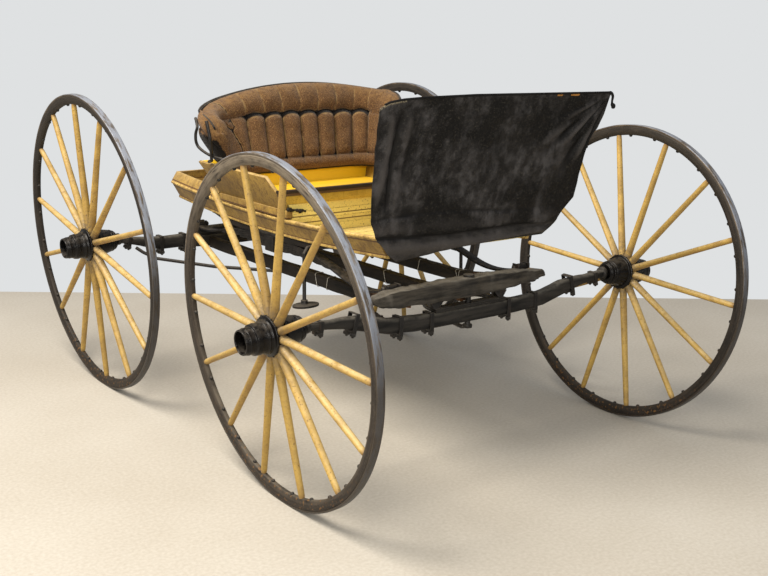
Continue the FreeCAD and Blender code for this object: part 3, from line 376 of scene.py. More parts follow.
colour = layered(
    tree, "191512", ("312a24", blotches(tree, rim, 50, 0.4, 0.6, BENT)), ("554b3f", streak, 0.4),
    ("9a8e7a", dust, dusty_wheel, 0.85), ("7c7160", top, dusty_wheel, settled, 0.8),
    ("8e7a5a", bare, 0.8), ("5a5044", blotches(tree, rim, 5, 0.55, 0.75)),
    ("0c0a08", clean_wheel, 0.55),
    ("8a6232", bottom, blotches(tree, rim, 11, 0.57, 0.64, seed=12), 0.6),
)
ridges = blotches(tree, rim, 6, 0.3, 0.7, FINE_BENT)
finish(tree, colour, 0.62, ridges, 0.5, Specular_IOR_Level=0.3)
print("finish:", felloe_paint.name)

# %% [markdown]
# A wheel's hub is turned elm, painted black, with iron bands shrunk on and a riveted
# flange on each side of the spokes. Its skin is glossy where it is clean and beige where
# dust has settled. The other irons are wrought, painted black and duller, with rust in
# patches and grey where they are rubbed. The springs' leaves are painted darker still,
# with little dust and no rust or rubbing, as painted shade under the body.

# %% Hub and iron finishes
hub_paint, tree, at = new_finish("Hub, black enamel under dust")
dust = times(tree, upward(tree, 0.25, 0.95), blotches(tree, at, 14, 0.4, 0.6))
rub = times(tree, rubbed_edges(tree, 3), blotches(tree, at, 10, 0.4, 0.6, seed=6))
colour = layered(
    tree, "050404", ("0e0c0b", blotches(tree, at, 18, 0.42, 0.6)), ("302c29", rub, 0.6),
    ("5c5448", dust, 0.32))
rough = node(tree, "ShaderNodeMapRange", {"Value": dust, "To Min": 0.26, "To Max": 0.6}).outputs[0]
finish(tree, colour, rough, blotches(tree, at, 5, 0.3, 0.7), 0.3, Specular_IOR_Level=0.25)

iron_paint, tree, at = new_finish("Wrought iron, old black paint")
dust = times(tree, upward(tree, 0.1, 0.9), blotches(tree, at, 20, 0.25, 0.55))
rub = times(tree, rubbed_edges(tree, 3), blotches(tree, at, 12, 0.4, 0.6, seed=6))
colour = layered(
    tree, "090807", ("1a1715", blotches(tree, at, 16, 0.4, 0.62)),
    ("38271c", blotches(tree, at, 35, 0.56, 0.7, seed=2), 0.5), ("433d38", rub, 0.5),
    ("5c554a", dust, 0.5))
rough = node(tree, "ShaderNodeMapRange", {"Value": dust, "To Min": 0.42, "To Max": 0.8}).outputs[0]
finish(tree, colour, rough, blotches(tree, at, 4, 0.3, 0.7), 0.35, Specular_IOR_Level=0.4)

# darker than the other irons, with little dust and no rust or rubbing: painted shade under the body
spring_paint_darkened_as_shade, tree, at = new_finish("Spring steel, black paint")
dust = times(tree, upward(tree, 0.5, 1.0), blotches(tree, at, 20, 0.4, 0.65))
colour = layered(
    tree, "090807", ("1d1916", blotches(tree, at, 20, 0.42, 0.62)), ("4a433a", dust, 0.6))
finish(tree, colour, 0.6, blotches(tree, at, 4, 0.3, 0.7), 0.35, Specular_IOR_Level=0.35)
print("finishes:", hub_paint.name, "|", iron_paint.name, "|", spring_paint_darkened_as_shade.name)

# %% [markdown]
# A wheel is made in its own frame, as a wheelwright trues it on a stand: its first axis
# points out along the axle arm, and the spokes lie across it. A matrix from the wheel's
# joint then carries every vertex to its place, so each object stays at the origin. Rims
# and hubs are turned: a profile of (along the axle, radius) points in millimetres is
# spun about the axle. Each corner is first cut to a small arc, because an edge with no
# roundness catches no light.

# %% Wheel frames and turning
MM = Matrix.Scale(0.001, 4)
WHEELS = [name.removesuffix("_spin") for name in joints if name.endswith("_spin")]


def wheel_matrix(wheel):
    """The matrix from a wheel's own frame, in millimetres, to the wagon."""
    joint = joints[f"{wheel}_spin"]
    out = Vector(joint["axis"])
    if out.x * joint["pos_m"][0] < 0:
        out = -out
    up = out.cross(Vector((0, 1, 0))) * (1 if out.x < 0 else -1)
    up = up if up.z > 0 else -up
    turn = Matrix((out, up.cross(out), up)).transposed().to_4x4()
    return Matrix.Translation(Vector(joint["pos_m"])) @ turn @ MM


def eased(profile, radius, steps=2):
    """A closed profile whose corners are cut to small arcs of about that radius."""
    points = [Vector(point) for point in profile]
    out = []
    for number, point in enumerate(points):
        before, after = points[number - 1] - point, points[(number + 1) % len(points)] - point
        reach = min(radius, before.length * 0.45, after.length * 0.45)
        start, end = point + before.normalized() * reach, point + after.normalized() * reach
        for step in range(steps + 1):
            part = step / steps
            out.append(start * (1 - part) ** 2 + point * 2 * part * (1 - part) + end * part ** 2)
    return out


def circle(sides):
    """The angles of that many points round a circle."""
    return [2 * math.pi * side / sides for side in range(sides)]


def loft(name, rings, material=None, sharp=42, round_again=False):
    """A skin over rings of equal numbers of points; its ends are closed, or meet each other."""
    count, total = len(rings[0]), len(rings)
    faces = []
    for row in range(total if round_again else total - 1):
        here, ahead = row * count, (row + 1) % total * count
        for side in range(count):
            after = (side + 1) % count
            faces.append((here + side, here + after, ahead + after, ahead + side))
    if not round_again:
        faces += [tuple(range(count)), tuple(range((total - 1) * count, total * count))]
    return plain_mesh(name, [point for ring in rings for point in ring], faces, material, sharp)


def mark(piece, name, value, kind="FLOAT"):
    """Stores a value at each point: from a list, from a function of the point, or one for all."""
    points = piece.data.vertices
    if callable(value):
        value = [value(point.co) for point in points]
    elif not isinstance(value, list):
        value = [value] * len(points)
    store = piece.data.attributes.new(name, kind, "POINT")
    store.data.foreach_set("value" if kind == "FLOAT" else "vector", value)
    return piece


def turned(name, profile, segments, matrix, material=None):
    """A closed profile of (along, radius) millimetres, spun about the X axis of matrix."""
    rings, round_rim = [], []
    for segment, angle in enumerate(circle(segments)):
        ring = [(along, out * math.sin(angle), out * math.cos(angle)) for along, out in profile]
        rings.append([matrix @ Vector(point) for point in ring])
        round_it = math.pi * abs(1 - 2 * segment / segments) * profile[0][1] / 1000
        for along, out in profile:
            round_rim += [round_it, out / 1000, along / 1000]
    made = loft(name, rings, material, round_again=True)
    return mark(made, "round_rim", round_rim, "FLOAT_VECTOR")


print("wheel frames:", WHEELS)

# %% [markdown]
# Spokes, rivets and bolts stand in rings. One Geometry Nodes tree makes every ring:
# it takes one piece, copies it a number of times round the axle, and gives each copy a
# tone of its own for the paint. A loop in Python would do it too, but the tree's named
# inputs say what a ring is, and the same tree serves a spoke and a rivet. Every such tree
# ends in the same few nodes, which one function adds.

# %% The ring tree
def new_tree(name, **sockets):
    """A Geometry Nodes tree with a geometry in and out and these named inputs."""
    tree = bpy.data.node_groups.new(name, "GeometryNodeTree")
    for way in ("INPUT", "OUTPUT"):
        tree.interface.new_socket("Geometry", in_out=way, socket_type="NodeSocketGeometry")
    for label, (kind, value) in sockets.items():
        kind = f"NodeSocket{kind}"
        socket = tree.interface.new_socket(label, in_out="INPUT", socket_type=kind)
        if value is not None:
            socket.default_value = value
    return tree, node(tree, "NodeGroupInput").outputs


def lay_copies(tree, given, points, turn, seed, **more):
    """Ends a tree: a copy of the piece at each point, with its own tone, real and painted."""
    copies = node(tree, "GeometryNodeInstanceOnPoints", {
        "Points": points, "Instance": given["Geometry"], "Rotation": turn, **more}).outputs[0]
    tone = node(tree, "FunctionNodeRandomValue", {"Seed": seed}, data_type="FLOAT").outputs[1]
    toned = node(tree, "GeometryNodeStoreNamedAttribute", {
        "Geometry": copies, "Name": "tone", "Value": tone}, domain="INSTANCE").outputs[0]
    real = node(tree, "GeometryNodeRealizeInstances", {"Geometry": toned}).outputs[0]
    painted = node(tree, "GeometryNodeSetMaterial", {"Geometry": real, "Material": given["Finish"]})
    node(tree, "NodeGroupOutput", {0: painted.outputs[0]})


ring_tree, given = new_tree(
    "Ring round an axle",
    Count=("Int", 14), Start=("Float", 0.0), Seed=("Int", 1), Finish=("Material", None))
spots = node(ring_tree, "GeometryNodePoints", {"Count": given["Count"]}).outputs[0]
number = node(ring_tree, "GeometryNodeInputIndex").outputs[0]
whole = {0: 2 * math.pi, 1: given["Count"]}
step = node(ring_tree, "ShaderNodeMath", whole, operation="DIVIDE").outputs[0]
angle = node(ring_tree, "ShaderNodeMath", {0: number, 1: step}, operation="MULTIPLY").outputs[0]
angle = node(ring_tree, "ShaderNodeMath", {0: angle, 1: given["Start"]}, operation="ADD").outputs[0]
turn = node(ring_tree, "ShaderNodeCombineXYZ", {0: angle}).outputs[0]
lay_copies(ring_tree, given, spots, turn, given["Seed"])


def as_mesh(piece):
    """Makes a piece's modifiers final, so that it is a plain mesh."""
    evaluated = piece.evaluated_get(bpy.context.evaluated_depsgraph_get())
    mesh = bpy.data.meshes.new_from_object(evaluated)
    piece.modifiers.clear()
    piece.data = mesh
    mesh.name = piece.name
    return piece


def grown(base, tree, **values):
    """Runs a Geometry Nodes tree on a piece, with these values for its inputs."""
    modifier = base.modifiers.new("grown", "NODES")
    modifier.node_group = tree
    for item in tree.interface.items_tree:
        if item.in_out == "INPUT" and item.name in values:
            modifier[item.identifier] = values[item.name]
    return as_mesh(base)


def into_place(piece, slot_name, *replaced, body="root", matrix=MM):
    """Carries a piece to its place, puts it on its body, and hides what it replaces."""
    if matrix is not None:
        piece.data.transform(matrix)
    piece.data.update()
    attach(piece, body)
    if replaced:
        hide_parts(*replaced)
    return piece


print("ring tree of", len(ring_tree.nodes), "nodes")

# %% [markdown]
# One spoke, then the ring of them. A spoke is split hickory, shaved to an oval: deep at
# the hub, where it is driven in between the flanges, and nearly round at the rim. It has a
# slight shoulder at each end. It is a loft of ovals, and carries how far each is along it.

# %% Spokes
HUB_BAND = 58
TYRE_THICK, FELLOE_DEEP = 7, 31
RADII = {"front": 533.4, "rear": 571}
SPOKES = 14
FIRST_SPOKE = {  # how far round the first spoke stands, as a share of the gap between two
    "wheel_front_left": 0.61, "wheel_front_right": 0.44,
    "wheel_rear_left": 0.57, "wheel_rear_right": 0.065}
SPOKE_OVALS = (
    # share of the length, half width round the wheel, half depth along the axle
    (0, 13.6, 15.2), (0.02, 13.2, 15.2), (0.05, 12.0, 15), (0.12, 11.4, 14.4),
    (0.3, 10.8, 13.4), (0.55, 10.2, 11.8), (0.8, 9.8, 10.8), (0.93, 9.6, 10.2),
    (0.965, 9.8, 10), (0.985, 9.2, 9.4), (1, 8.4, 8.6),
)


def radius_of(wheel):
    """A wheel's radius over its tyre."""
    return RADII[wheel.split("_")[1]]


def inside_of(wheel):
    """The radius inside a wheel's felloe, where the spokes end."""
    return radius_of(wheel) - (TYRE_THICK + FELLOE_DEEP)


def spoke(name, rim, sides=20):
    """One spoke from the hub's band up to the felloe."""
    rings = []
    for share, wide, deep in SPOKE_OVALS:
        height = HUB_BAND - 3 + share * (rim - HUB_BAND + 4)
        ring = []
        for angle in circle(sides):
            swell = 1 + 0.05 * math.cos(2 * angle) * (1 - share)
            ring.append((deep * math.cos(angle) * swell, wide * math.sin(angle), height))
        rings.append(ring)
    return mark(loft(name, rings), "along", [oval[0] for oval in SPOKE_OVALS for _ in range(sides)])


for wheel in WHEELS:
    start = FIRST_SPOKE[wheel] * 2 * math.pi / SPOKES
    ring = grown(
        spoke(f"{wheel}_spokes_painted", inside_of(wheel)), ring_tree,
        Count=SPOKES, Start=start, Seed=len(wheel), Finish=spoke_paint)
    into_place(ring, "spoke_yellow", f"{wheel}_spokes", body=wheel, matrix=wheel_matrix(wheel))
    print(ring.name, len(ring.data.polygons), "faces")

# %% [markdown]
# The felloe is two bent halves of hickory, rounded on its inner corners, and the tyre is a
# flat bar outside it. A narrow dark groove shows where wood and steel meet, so the felloe
# is drawn a little narrower there.

# %% Felloes and tyres
RIM_HALF, RIM_SEGMENTS = 12.7, 128
for wheel in WHEELS:
    radius, low, place = radius_of(wheel), inside_of(wheel), wheel_matrix(wheel)
    seat = radius - TYRE_THICK
    bar = eased(
        [(-RIM_HALF, seat), (RIM_HALF, seat), (RIM_HALF, radius), (-RIM_HALF, radius)], 2.2, 3)
    rim = turned(f"{wheel}_tyre_worn", bar, RIM_SEGMENTS, place, tyre_steel)
    mark(rim, "tread", [1.0 if out > radius - 1.2 else 0.0 for _, out in bar] * RIM_SEGMENTS)
    into_place(rim, "tyre_steel", f"{wheel}_tyre", body=wheel, matrix=None)
    half = [
        (RIM_HALF - 1.6, seat), (RIM_HALF, radius - 9.5), (RIM_HALF, low + 12), (RIM_HALF - 6, low)]
    wood = eased([(-half[0][0], seat)] + half + [(-wide, out) for wide, out in half[:0:-1]], 3.5, 3)
    bent = turned(f"{wheel}_felloe_painted", wood, RIM_SEGMENTS, place, felloe_paint)
    into_place(bent, "felloe_black", f"{wheel}_felloe", body=wheel, matrix=None)
print("rims of", sorted(RADII.values()), "mm radius")

# %% [markdown]
# The hub's profile carries everything a turner and a smith put there: collars at the inner
# end, a long cone, two flanges that clamp the spokes, a step, a band and the open nose
# with its iron rim. The recess in the nose is where the axle nut sits. A rivet holds the
# flanges beside each spoke, and two bolts hold each spoke's end in the felloe.

# %% Hubs, rivets and felloe bolts
HUB_PROFILE = (
    # inner end and its collars
    (-98, 17), (-98, 31), (-96.5, 33), (-93.5, 33.5), (-93, 36.5), (-90, 37.5), (-87, 37.5),
    (-86, 35.8), (-84.5, 35.8), (-83.5, 41), (-80, 42), (-76, 42.3), (-75, 40.8), (-73.5, 40.8),
    # cone, inner flange, spoke band, outer flange
    (-72.5, 43), (-60, 45.6), (-45, 49), (-30, 51.5), (-25, 52), (-23.5, 56), (-22.5, 60.5),
    (-20.5, 62.5), (-17, 62.5), (-15, 61), (-14.5, 56), (14.5, 56), (15, 61), (17, 62.5),
    (20.5, 62.5), (22.5, 60.5), (23.5, 56), (25, 52.5), (34, 49.5), (35, 51), (38, 50.8),
    # front band and nose, and back in to the bore
    (39, 48.8), (56, 45.5), (57, 47.8), (59, 48.4), (72, 46.6), (74, 46), (75, 43.5),
    (76.5, 41.8), (90, 40.4), (91, 41.2), (94, 41), (95, 39.9), (107, 38.4), (109, 37.6),
    (109.3, 35.8), (109, 33.8), (106, 33), (66, 30.2), (64, 29), (62.5, 17),
)


def dome(name, radius, height, sides=10):
    """A round head, standing on the origin."""
    rings = []
    for share, rise in ((1, -0.6), (1, 0.25), (0.85, 0.65), (0.55, 0.92), (0.2, 1)):
        rings.append([
            (radius * share * math.cos(a), radius * share * math.sin(a), height * rise)
            for a in circle(sides)])
    return loft(name, rings, sharp=70)


for wheel in WHEELS:
    place = wheel_matrix(wheel)
    hub = turned(f"{wheel}_hub_turned", eased(HUB_PROFILE, 1.2), 72, place, hub_paint)
    into_place(hub, "hub_black", f"{wheel}_hub", body=wheel, matrix=None)
    for side, along in (("outer", 19), ("inner", -19)):
        rivet = dome(f"{wheel}_rivets_{side}", 3.2, 2.6)
        rivet.data.transform(Matrix.Translation((along, 0, 62.2)))
        ring = grown(rivet, ring_tree, Count=SPOKES, Start=0.0, Seed=3, Finish=hub_paint)
        into_place(ring, "hub_black", body=wheel, matrix=place)
    bolt = dome(f"{wheel}_felloe_bolts", 6.5, 7)
    inward = Matrix.Rotation(math.pi, 4, "X")
    bolt.data.transform(Matrix.Translation((0, 0, inside_of(wheel) + 0.5)) @ inward)
    start = (FIRST_SPOKE[wheel] + 0.25) * 2 * math.pi / SPOKES
    ring = grown(bolt, ring_tree, Count=2 * SPOKES, Start=start, Seed=5, Finish=iron_paint)
    into_place(ring, "black_iron", body=wheel, matrix=place)
print("hub profile of", len(HUB_PROFILE), "points")

# %% [markdown]
# The running gear's wood is ash. The perches and the axle beds were painted black; the
# front spring bar has lost its paint and gone grey, with tan wood where a splinter has
# come away. Old wood is ridged along its grain and has no gloss left, so the relief is
# noise drawn out along the piece, and bare patches are masks in the same direction.

# %% Old wood finishes
LENGTHWAYS, CROSSWAYS = (1, 0.12, 1), (0.12, 1, 1)


def old_wood(name, paint, worn, dusty, bare, grain, bare_at, ends=None, shine=0.25):
    """Painted wood with its grain along an axis: grain squashes the noise on that axis."""
    material, tree, at = new_finish(name)
    ridges = blotches(tree, at, 5, 0.3, 0.7, grain, detail=6.0)
    patches = blotches(tree, at, 60, bare_at, bare_at + 0.05, grain, seed=4)
    if ends is not None:
        patches = either(tree, patches, ends(tree, at))
    colour = layered(
        tree, paint, (worn, blotches(tree, at, 30, 0.38, 0.62, grain)),
        (dusty, upward(tree, 0.1, 0.95), blotches(tree, at, 26, 0.25, 0.6), 0.7),
        (worn, rubbed_edges(tree, 4), blotches(tree, at, 22, 0.42, 0.6, seed=6)),
        (layered(tree, bare, ("4a3220", ridges)), patches),
        ("15110e", blotches(tree, at, 4, 0.66, 0.75, grain, seed=8)),
    )
    finish(tree, colour, 0.84 - 0.48 * shine, ridges, 0.7, Specular_IOR_Level=shine)
    return material


def front_ends(tree, at):
    """A mask of the front ends of the perches, which have lost their paint."""
    along = node(tree, "ShaderNodeSeparateXYZ", {0: at}).outputs[1]
    ahead = node(tree, "ShaderNodeMapRange", {"Value": along, "From Min": -0.47, "From Max": -0.56})
    return times(tree, ahead.outputs[0], blotches(tree, at, 70, 0.3, 0.5, (1, 0.3, 1), seed=7))


perch_wood = old_wood(
    "Ash, black paint, lengthways", "0c0b0a", "241f1a", "4a4339", "96663a",
    LENGTHWAYS, 0.68, front_ends)
bed_wood = old_wood(
    "Ash, black paint, crossways", "070707", "2e2b27", "6a655b", "7c6647",
    CROSSWAYS, 0.64, shine=0.3)
bar_wood = old_wood(
    "Ash, bare and grey", "1f1d1a", "4a453d", "6f6a60", "ad8a5c", CROSSWAYS, 0.6)
print("finishes:", perch_wood.name, "|", bed_wood.name, "|", bar_wood.name)

# %% [markdown]
# Most irons keep the shape the engineering model gives them. What a smith's work adds is
# roundness, since no forged edge is sharp: each of these is one merged copy of its nodes
# with eased edges. A Subdivision modifier would round them too, but would shrink a bar's
# section; a bevel leaves its flats where they are.

# %% Softened copies of plain pieces
def softened(name, sources, material, slot_name, soft):
    """One merged copy of CAD nodes, which it stands for, its edges eased by soft millimetres."""
    shell = bmesh.new()
    for source in sources:
        shell.from_mesh(nodes[source].data)
    bmesh.ops.remove_doubles(shell, verts=shell.verts, dist=0.00003)
    flat = {"angle_face_threshold": 0.01, "angle_shape_threshold": 0.7}
    bmesh.ops.join_triangles(shell, faces=shell.faces, **flat)
    shape = BVHTree.FromBMesh(shell)
    mesh = bpy.data.meshes.new(name)
    shell.to_mesh(mesh)
    shell.free()
    made = added(name, mesh)
    ease = made.modifiers.new("ease", "BEVEL")
    ease.width, ease.segments, ease.angle_limit = soft / 1000, 2, math.radians(32)
    ease.use_clamp_overlap = False
    as_mesh(made)
    for vertex in made.data.vertices:  # a bevel throws spikes where edges meet: lay them back
        near, _, _, away = shape.find_nearest(vertex.co)
        if away > 0.7 * soft / 1000:
            vertex.co = near
    made.data.materials.clear()
    made.data.materials.append(material)
    smoothed(made.data, 48)
    return into_place(made, slot_name, *sources, body=body_of[sources[0]], matrix=None)


FORGED = {  # how many millimetres each iron's edges are eased by
    "front_axle": 3.2, "rear_axle": 3.2, "front_axle_clips": 1.2, "rear_axle_clips": 1.2,
    "fifth_wheel_lower": 1, "fifth_wheel_upper": 1.4, "spring_brackets": 1.2,
    "axle_stays": 0.8, "steps": 1.5, "dash_frame": 2, "dash_feet": 1.5}
for name, soft in FORGED.items():
    softened(f"{name}_forged", [name], iron_paint, "black_iron", soft)
softened("king_bolt_and_stay", ["king_bolt", "king_bolt_stay"], iron_paint, "black_iron", 1.2)
softened("seat_back_rail_iron", ["seat_back_rail"], iron_paint, "black_iron", 0.8)
softened("rear_bar_worn", ["rear_spring_bar"], bed_wood, "black_wood", 5)
softened("spring_blocks_worn", ["spring_blocks"], bed_wood, "black_wood", 2.5)
print(len(FORGED) + 4, "softened copies")

# %% [markdown]
# Rods, turned heads and rounded oblongs make up what isn't a plain copy. Small parts that
# repeat, such as nuts and buttons, stand at listed places: one Geometry Nodes tree puts a
# copy at each point of a hidden mesh that carries the turn and the size of every copy.

# %% Rods, lathes and rounded oblongs
def joined(name, material, *pieces):
    """Several mesh objects made one."""
    shell = bmesh.new()
    for piece in pieces:
        shell.from_mesh(piece.data)
        bpy.data.objects.remove(piece)
    mesh = bpy.data.meshes.new(name)
    shell.to_mesh(mesh)
    shell.free()
    if material:
        mesh.materials.append(material)
    return added(name, mesh)


def lathe(name, profile, sides):
    """A (radius, height) profile spun about Z, closed at both ends."""
    rings = [[(out * math.cos(a), out * math.sin(a), up) for a in circle(sides)]
             for out, up in profile]
    return loft(name, rings, sharp=35)


def smooth_path(points, steps):
    """Points along a smooth curve that passes through the given points."""
    spots = [Vector(point) for point in points]
    out = []
    for number in range(len(spots) - 1):
        p0, p1 = spots[max(number - 1, 0)], spots[number]
        p2, p3 = spots[number + 1], spots[min(number + 2, len(spots) - 1)]
        for step in range(steps):
            t = step / steps
            a, b = 2 * p0 - 5 * p1 + 4 * p2 - p3, 3 * p1 - p0 - 3 * p2 + p3
            out.append(0.5 * (2 * p1 + (p2 - p0) * t + a * t ** 2 + b * t ** 3))
    return out + [spots[-1]]


def rod(name, path, radius, material=None, sides=8):
    """A round rod or cord along a path; radius is one number or one for each point."""
    rings, side = [], None
    for number, point in enumerate(path):
        ahead = path[min(number + 1, len(path) - 1)] - path[max(number - 1, 0)]
        ahead.normalize()
        side = ahead.orthogonal() if side is None else side - ahead * side.dot(ahead)
        side.normalize()
        up = ahead.cross(side)
        here = radius[number] if isinstance(radius, list) else radius
        rings.append([
            point + (side * math.cos(a) + up * math.sin(a)) * here for a in circle(sides)])
    return loft(name, rings, material, sharp=50)


def section(low, high, wide, radius=4, steps=3):
    """A rounded oblong section of a bar: (across, height) points, from low to high."""
    return eased([(-wide, low), (wide, low), (wide, high), (-wide, high)], radius, steps)


def clamp(value):
    """A value kept between 0 and 1."""
    return min(1, max(0, value))


def weathered(piece, depth, size, share=None, seed=0.0):
    """Roughens a piece by up to depth, in dents of about that size, in millimetres."""
    normals = [vertex.normal.copy() for vertex in piece.data.vertices]
    for vertex, normal in zip(piece.data.vertices, normals):
        strength = depth * (share(vertex.co) if share else 1)
        where = Vector([place / wide for place, wide in zip(vertex.co, size)])
        vertex.co += normal * noise.noise(where + Vector((seed, seed, seed))) * strength
    return piece


print("a rounded oblong has", len(section(0, 30, 15)), "points")

# %% Copies at places
places_tree, given = new_tree(
    "Copies at places", Places=("Object", None), Finish=("Material", None))
spots = node(places_tree, "GeometryNodeObjectInfo", {"Object": given["Places"]})
turn, size = (
    node(places_tree, "GeometryNodeInputNamedAttribute", {"Name": name}, data_type=kind).outputs[0]
    for name, kind in (("turn", "FLOAT_VECTOR"), ("size", "FLOAT")))
lay_copies(places_tree, given, spots.outputs["Geometry"], turn, 5, Scale=size)


def copies_at(base, places, material, slot_name, body="root"):
    """Copies of base at places, each (point, the way its Z points, turn about it, size)."""
    spots = plain_mesh(base.name + "_places", [place[0] for place in places], [])
    turns = []
    for _, way, turn, _ in places:
        whole = Vector(way).to_track_quat("Z", "Y") @ Matrix.Rotation(turn, 3, "Z").to_quaternion()
        turns += list(whole.to_euler())
    mark(spots, "turn", turns, "FLOAT_VECTOR")
    mark(spots, "size", [place[3] for place in places])
    made = grown(base, places_tree, Places=spots, Finish=material)
    bpy.data.objects.remove(spots)
    return into_place(made, slot_name, body=body)


print("places tree of", len(places_tree.nodes), "nodes")

# %% [markdown]
# The front axle is one forged bar, cranked down in the middle, with a wooden bed on top
# that spreads the load. Bar and bed are clipped together and read as one thick beam. The
# clips are straps bent round both; under each a small plate takes two square nuts.

# %% Axle beds and clip nuts
FRONT_Y, REAR_Y = -700.8, 663.2
# each axle's iron: distance out from the middle, height
FRONT_LINE = ((0, 474), (200, 474), (330, 481), (424, 505), (520, 530), (632, 540))
REAR_LINE = ((0, 520), (260, 520), (340, 531), (460, 531), (560, 560), (630, 576))


def on_line(line, out):
    """Height and slope of an axle's iron at a distance out."""
    near, far = next((a, b) for a, b in zip(line, line[1:]) if a[0] <= out <= b[0])
    slope = (far[1] - near[1]) / (far[0] - near[0])
    return near[1] + (out - near[0]) * slope, slope


def beam(name, line, axle_y, full, feather):
    """Bed and iron as one rounded beam. The bed is full height out to full, gone by feather."""
    reach, rings = line[-1][0], []
    for step in range(reach * 2 // 8 + 1):
        across = 8 * step - reach
        out = abs(across)
        near = [min(max(out + shift, 0), reach) for shift in (-24, -8, 8, 24)]
        height = sum(on_line(line, spot)[0] for spot in near) / 4
        bed = clamp((feather - out) / (feather - full))
        top, half = 13.2 + 24.4 * bed, 16.2 + 2 * bed
        oblong = section(height - 12.6, height + top, half, 9 + 4 * bed, 5)
        rings.append([(across, axle_y + wide, up) for wide, up in oblong])
    return weathered(loft(name, rings, bed_wood), 1.6, (70, 9, 9), seed=axle_y / 100)


into_place(
    beam("front_axle_beam", FRONT_LINE, FRONT_Y, 424, 545), "black_wood", "front_axle_bed",
    body="front_gear")
into_place(beam("rear_axle_beam", REAR_LINE, REAR_Y, 460, 585), "black_wood", "rear_axle_bed")


def nut(name, across, thick, sides=4):
    """A nut standing on the origin, its corners cut, with the bolt's end showing through."""
    out = across / 2 / math.cos(math.pi / sides)
    body = lathe(name + "_body", ((out, -0.5), (out, thick * 0.8), (out * 0.9, thick)), sides)
    end = ((across * 0.26, thick - 0.5), (across * 0.26, thick + 4), (across * 0.2, thick + 5))
    return joined(name, None, body, lathe(name + "_end", end, 10))


def clip_nuts(name, line, axle_y, outs, body):
    """Two square nuts under each clip, at distances out on both sides of an axle."""
    places = []
    for out in outs:
        height, slope = on_line(line, out)
        apart = (36 if out < 500 else 30) / 2 - 2
        for side in (1, -1):
            down = Vector((side * slope, 0, -1)).normalized()
            for along in (-apart, apart):
                spot = Vector((side * out, axle_y + along, height)) + down * 21
                places.append((spot, down, 0.3 + along, 1.0))
    copies_at(nut(name, 17, 9), places, iron_paint, "black_iron", body)
    return len(places)


count = clip_nuts("front_clip_nuts", FRONT_LINE, FRONT_Y, (166, 290, 465, 585), "front_gear")
count += clip_nuts("rear_clip_nuts", REAR_LINE, REAR_Y, (352, 452, 585), "root")
print(count, "clip nuts")

# %% [markdown]
# The front spring bar has had the worst of the weather. Its ends are rotted to blunt
# points, one side is stepped down by a long split, and its top is ridged. It is a loft of
# rounded oblongs along the wagon's width; noise, drawn out along the grain, does the rest.

# %% Front spring bar
BAR_Y = -695
BAR = (
    # across, underside, top, half depth
    (-384, 572, 582, 5), (-380, 567, 588, 12), (-370, 562, 594, 19), (-352, 558, 599, 24),
    (-320, 553, 602, 26), (-260, 549, 604, 26), (-180, 547, 606, 26), (-100, 546, 608, 26),
    (0, 546, 609, 26), (100, 547, 608, 26), (140, 549, 606, 26), (165, 553, 604, 25.5),
    (235, 558, 603, 25), (262, 560, 601, 25), (276, 563, 598, 24.5), (300, 565, 597, 24),
    (318, 568, 595, 22), (330, 569, 590, 18), (338, 571, 584, 11), (341, 574, 580, 4),
)


def read_off(table, value):
    """The other columns of a table, where its first column has that value."""
    low, high = next((a, b) for a, b in zip(table, table[1:]) if a[0] <= value <= b[0] + 1e-6)
    part = (value - low[0]) / (high[0] - low[0])
    return [a + (b - a) * part for a, b in zip(low[1:], high[1:])]


rings = []
for across in range(-384, 342, 5):
    low, high, half = read_off(BAR, across)
    rings.append([(across, BAR_Y + wide, up) for wide, up in section(low, high, half, 5, 4)])
bar = loft("front_spring_bar_weathered", rings, bar_wood)
weathered(bar, 7, (60, 14, 12), lambda p: 0.35 + 0.65 * clamp((abs(p.x + 20) - 150) / 180))
weathered(bar, 3, (30, 4, 4), seed=5)
into_place(bar, "weathered_wood", "front_spring_bar")
print("bar of", len(rings), "sections")

# %% [markdown]
# Three perches tie the axles together. Their front tongues were planed thin to lie on the
# fifth wheel and the weather has opened them: the paint is gone, and the left one has
# sprung up off its seat. Turns of soft zinc-dull wire hold them for the journey; each is
# a thin rod round the perch's section, leaning a little.

# %% Perches and their wire ties
PERCHES = {  # across, how far its front end has lifted, front end
    "left": (225, 30, -669), "middle": (0, 0, -677), "right": (-225, 6, -669)}
TIES = (  # perch, where along it, lean
    ("right", -159, 6), ("right", -229, -5), ("middle", -262, 7),
    ("left", -172, -6), ("left", -396, 9), ("left", -404, -4))


def perch_section(y, lift, front):
    """Low and high faces of a perch at a place along it."""
    ahead = clamp((-398 - y) / (-398 - front))
    low = 503 + 21.3 * clamp((-378 - y) / 20)
    return low + lift * ahead, 546 + lift * ahead


for side, (x, lift, front) in PERCHES.items():
    rings = []
    for y in list(range(645, front - 1, -12)) + [front]:
        low, high = perch_section(y, lift, front)
        rings.append([(x + wide, y, height) for wide, height in section(low, high, 16, 5)])
    wood = loft(f"perch_{side}_worn", rings, perch_wood)
    weathered(wood, 2.2, (9, 90, 9), seed=x / 100)
    weathered(wood, 7, (8, 40, 6), lambda p: clamp((-480 - p.y) / 120), seed=x / 50)
    into_place(wood, "black_wood", f"perch_{side}")

tie_wire, tree, at = new_finish("Soft tie wire, dull zinc")
colour = layered(tree, "b9b6ae", ("8a8478", blotches(tree, at, 8, 0.4, 0.6)))
finish(tree, colour, 0.5, Metallic=0.2)


def wire_tie(side, y, lean):
    """One turn of wire round a perch."""
    x, lift, front = PERCHES[side]
    low, high = perch_section(y, lift, front)
    path = [
        Vector((x + wide, y + lean * (height - 525) / 22, height))
        for wide, height in section(low - 2, high + 2, 18, 7, 4)]
    return rod(f"tie_{side}_{-y}", path + path[:2], 1.1, sides=6)


into_place(joined("wire_ties", tie_wire, *(wire_tie(*tie) for tie in TIES)), "black_iron")
print(len(PERCHES), "perches,", len(TIES), "turns of wire")

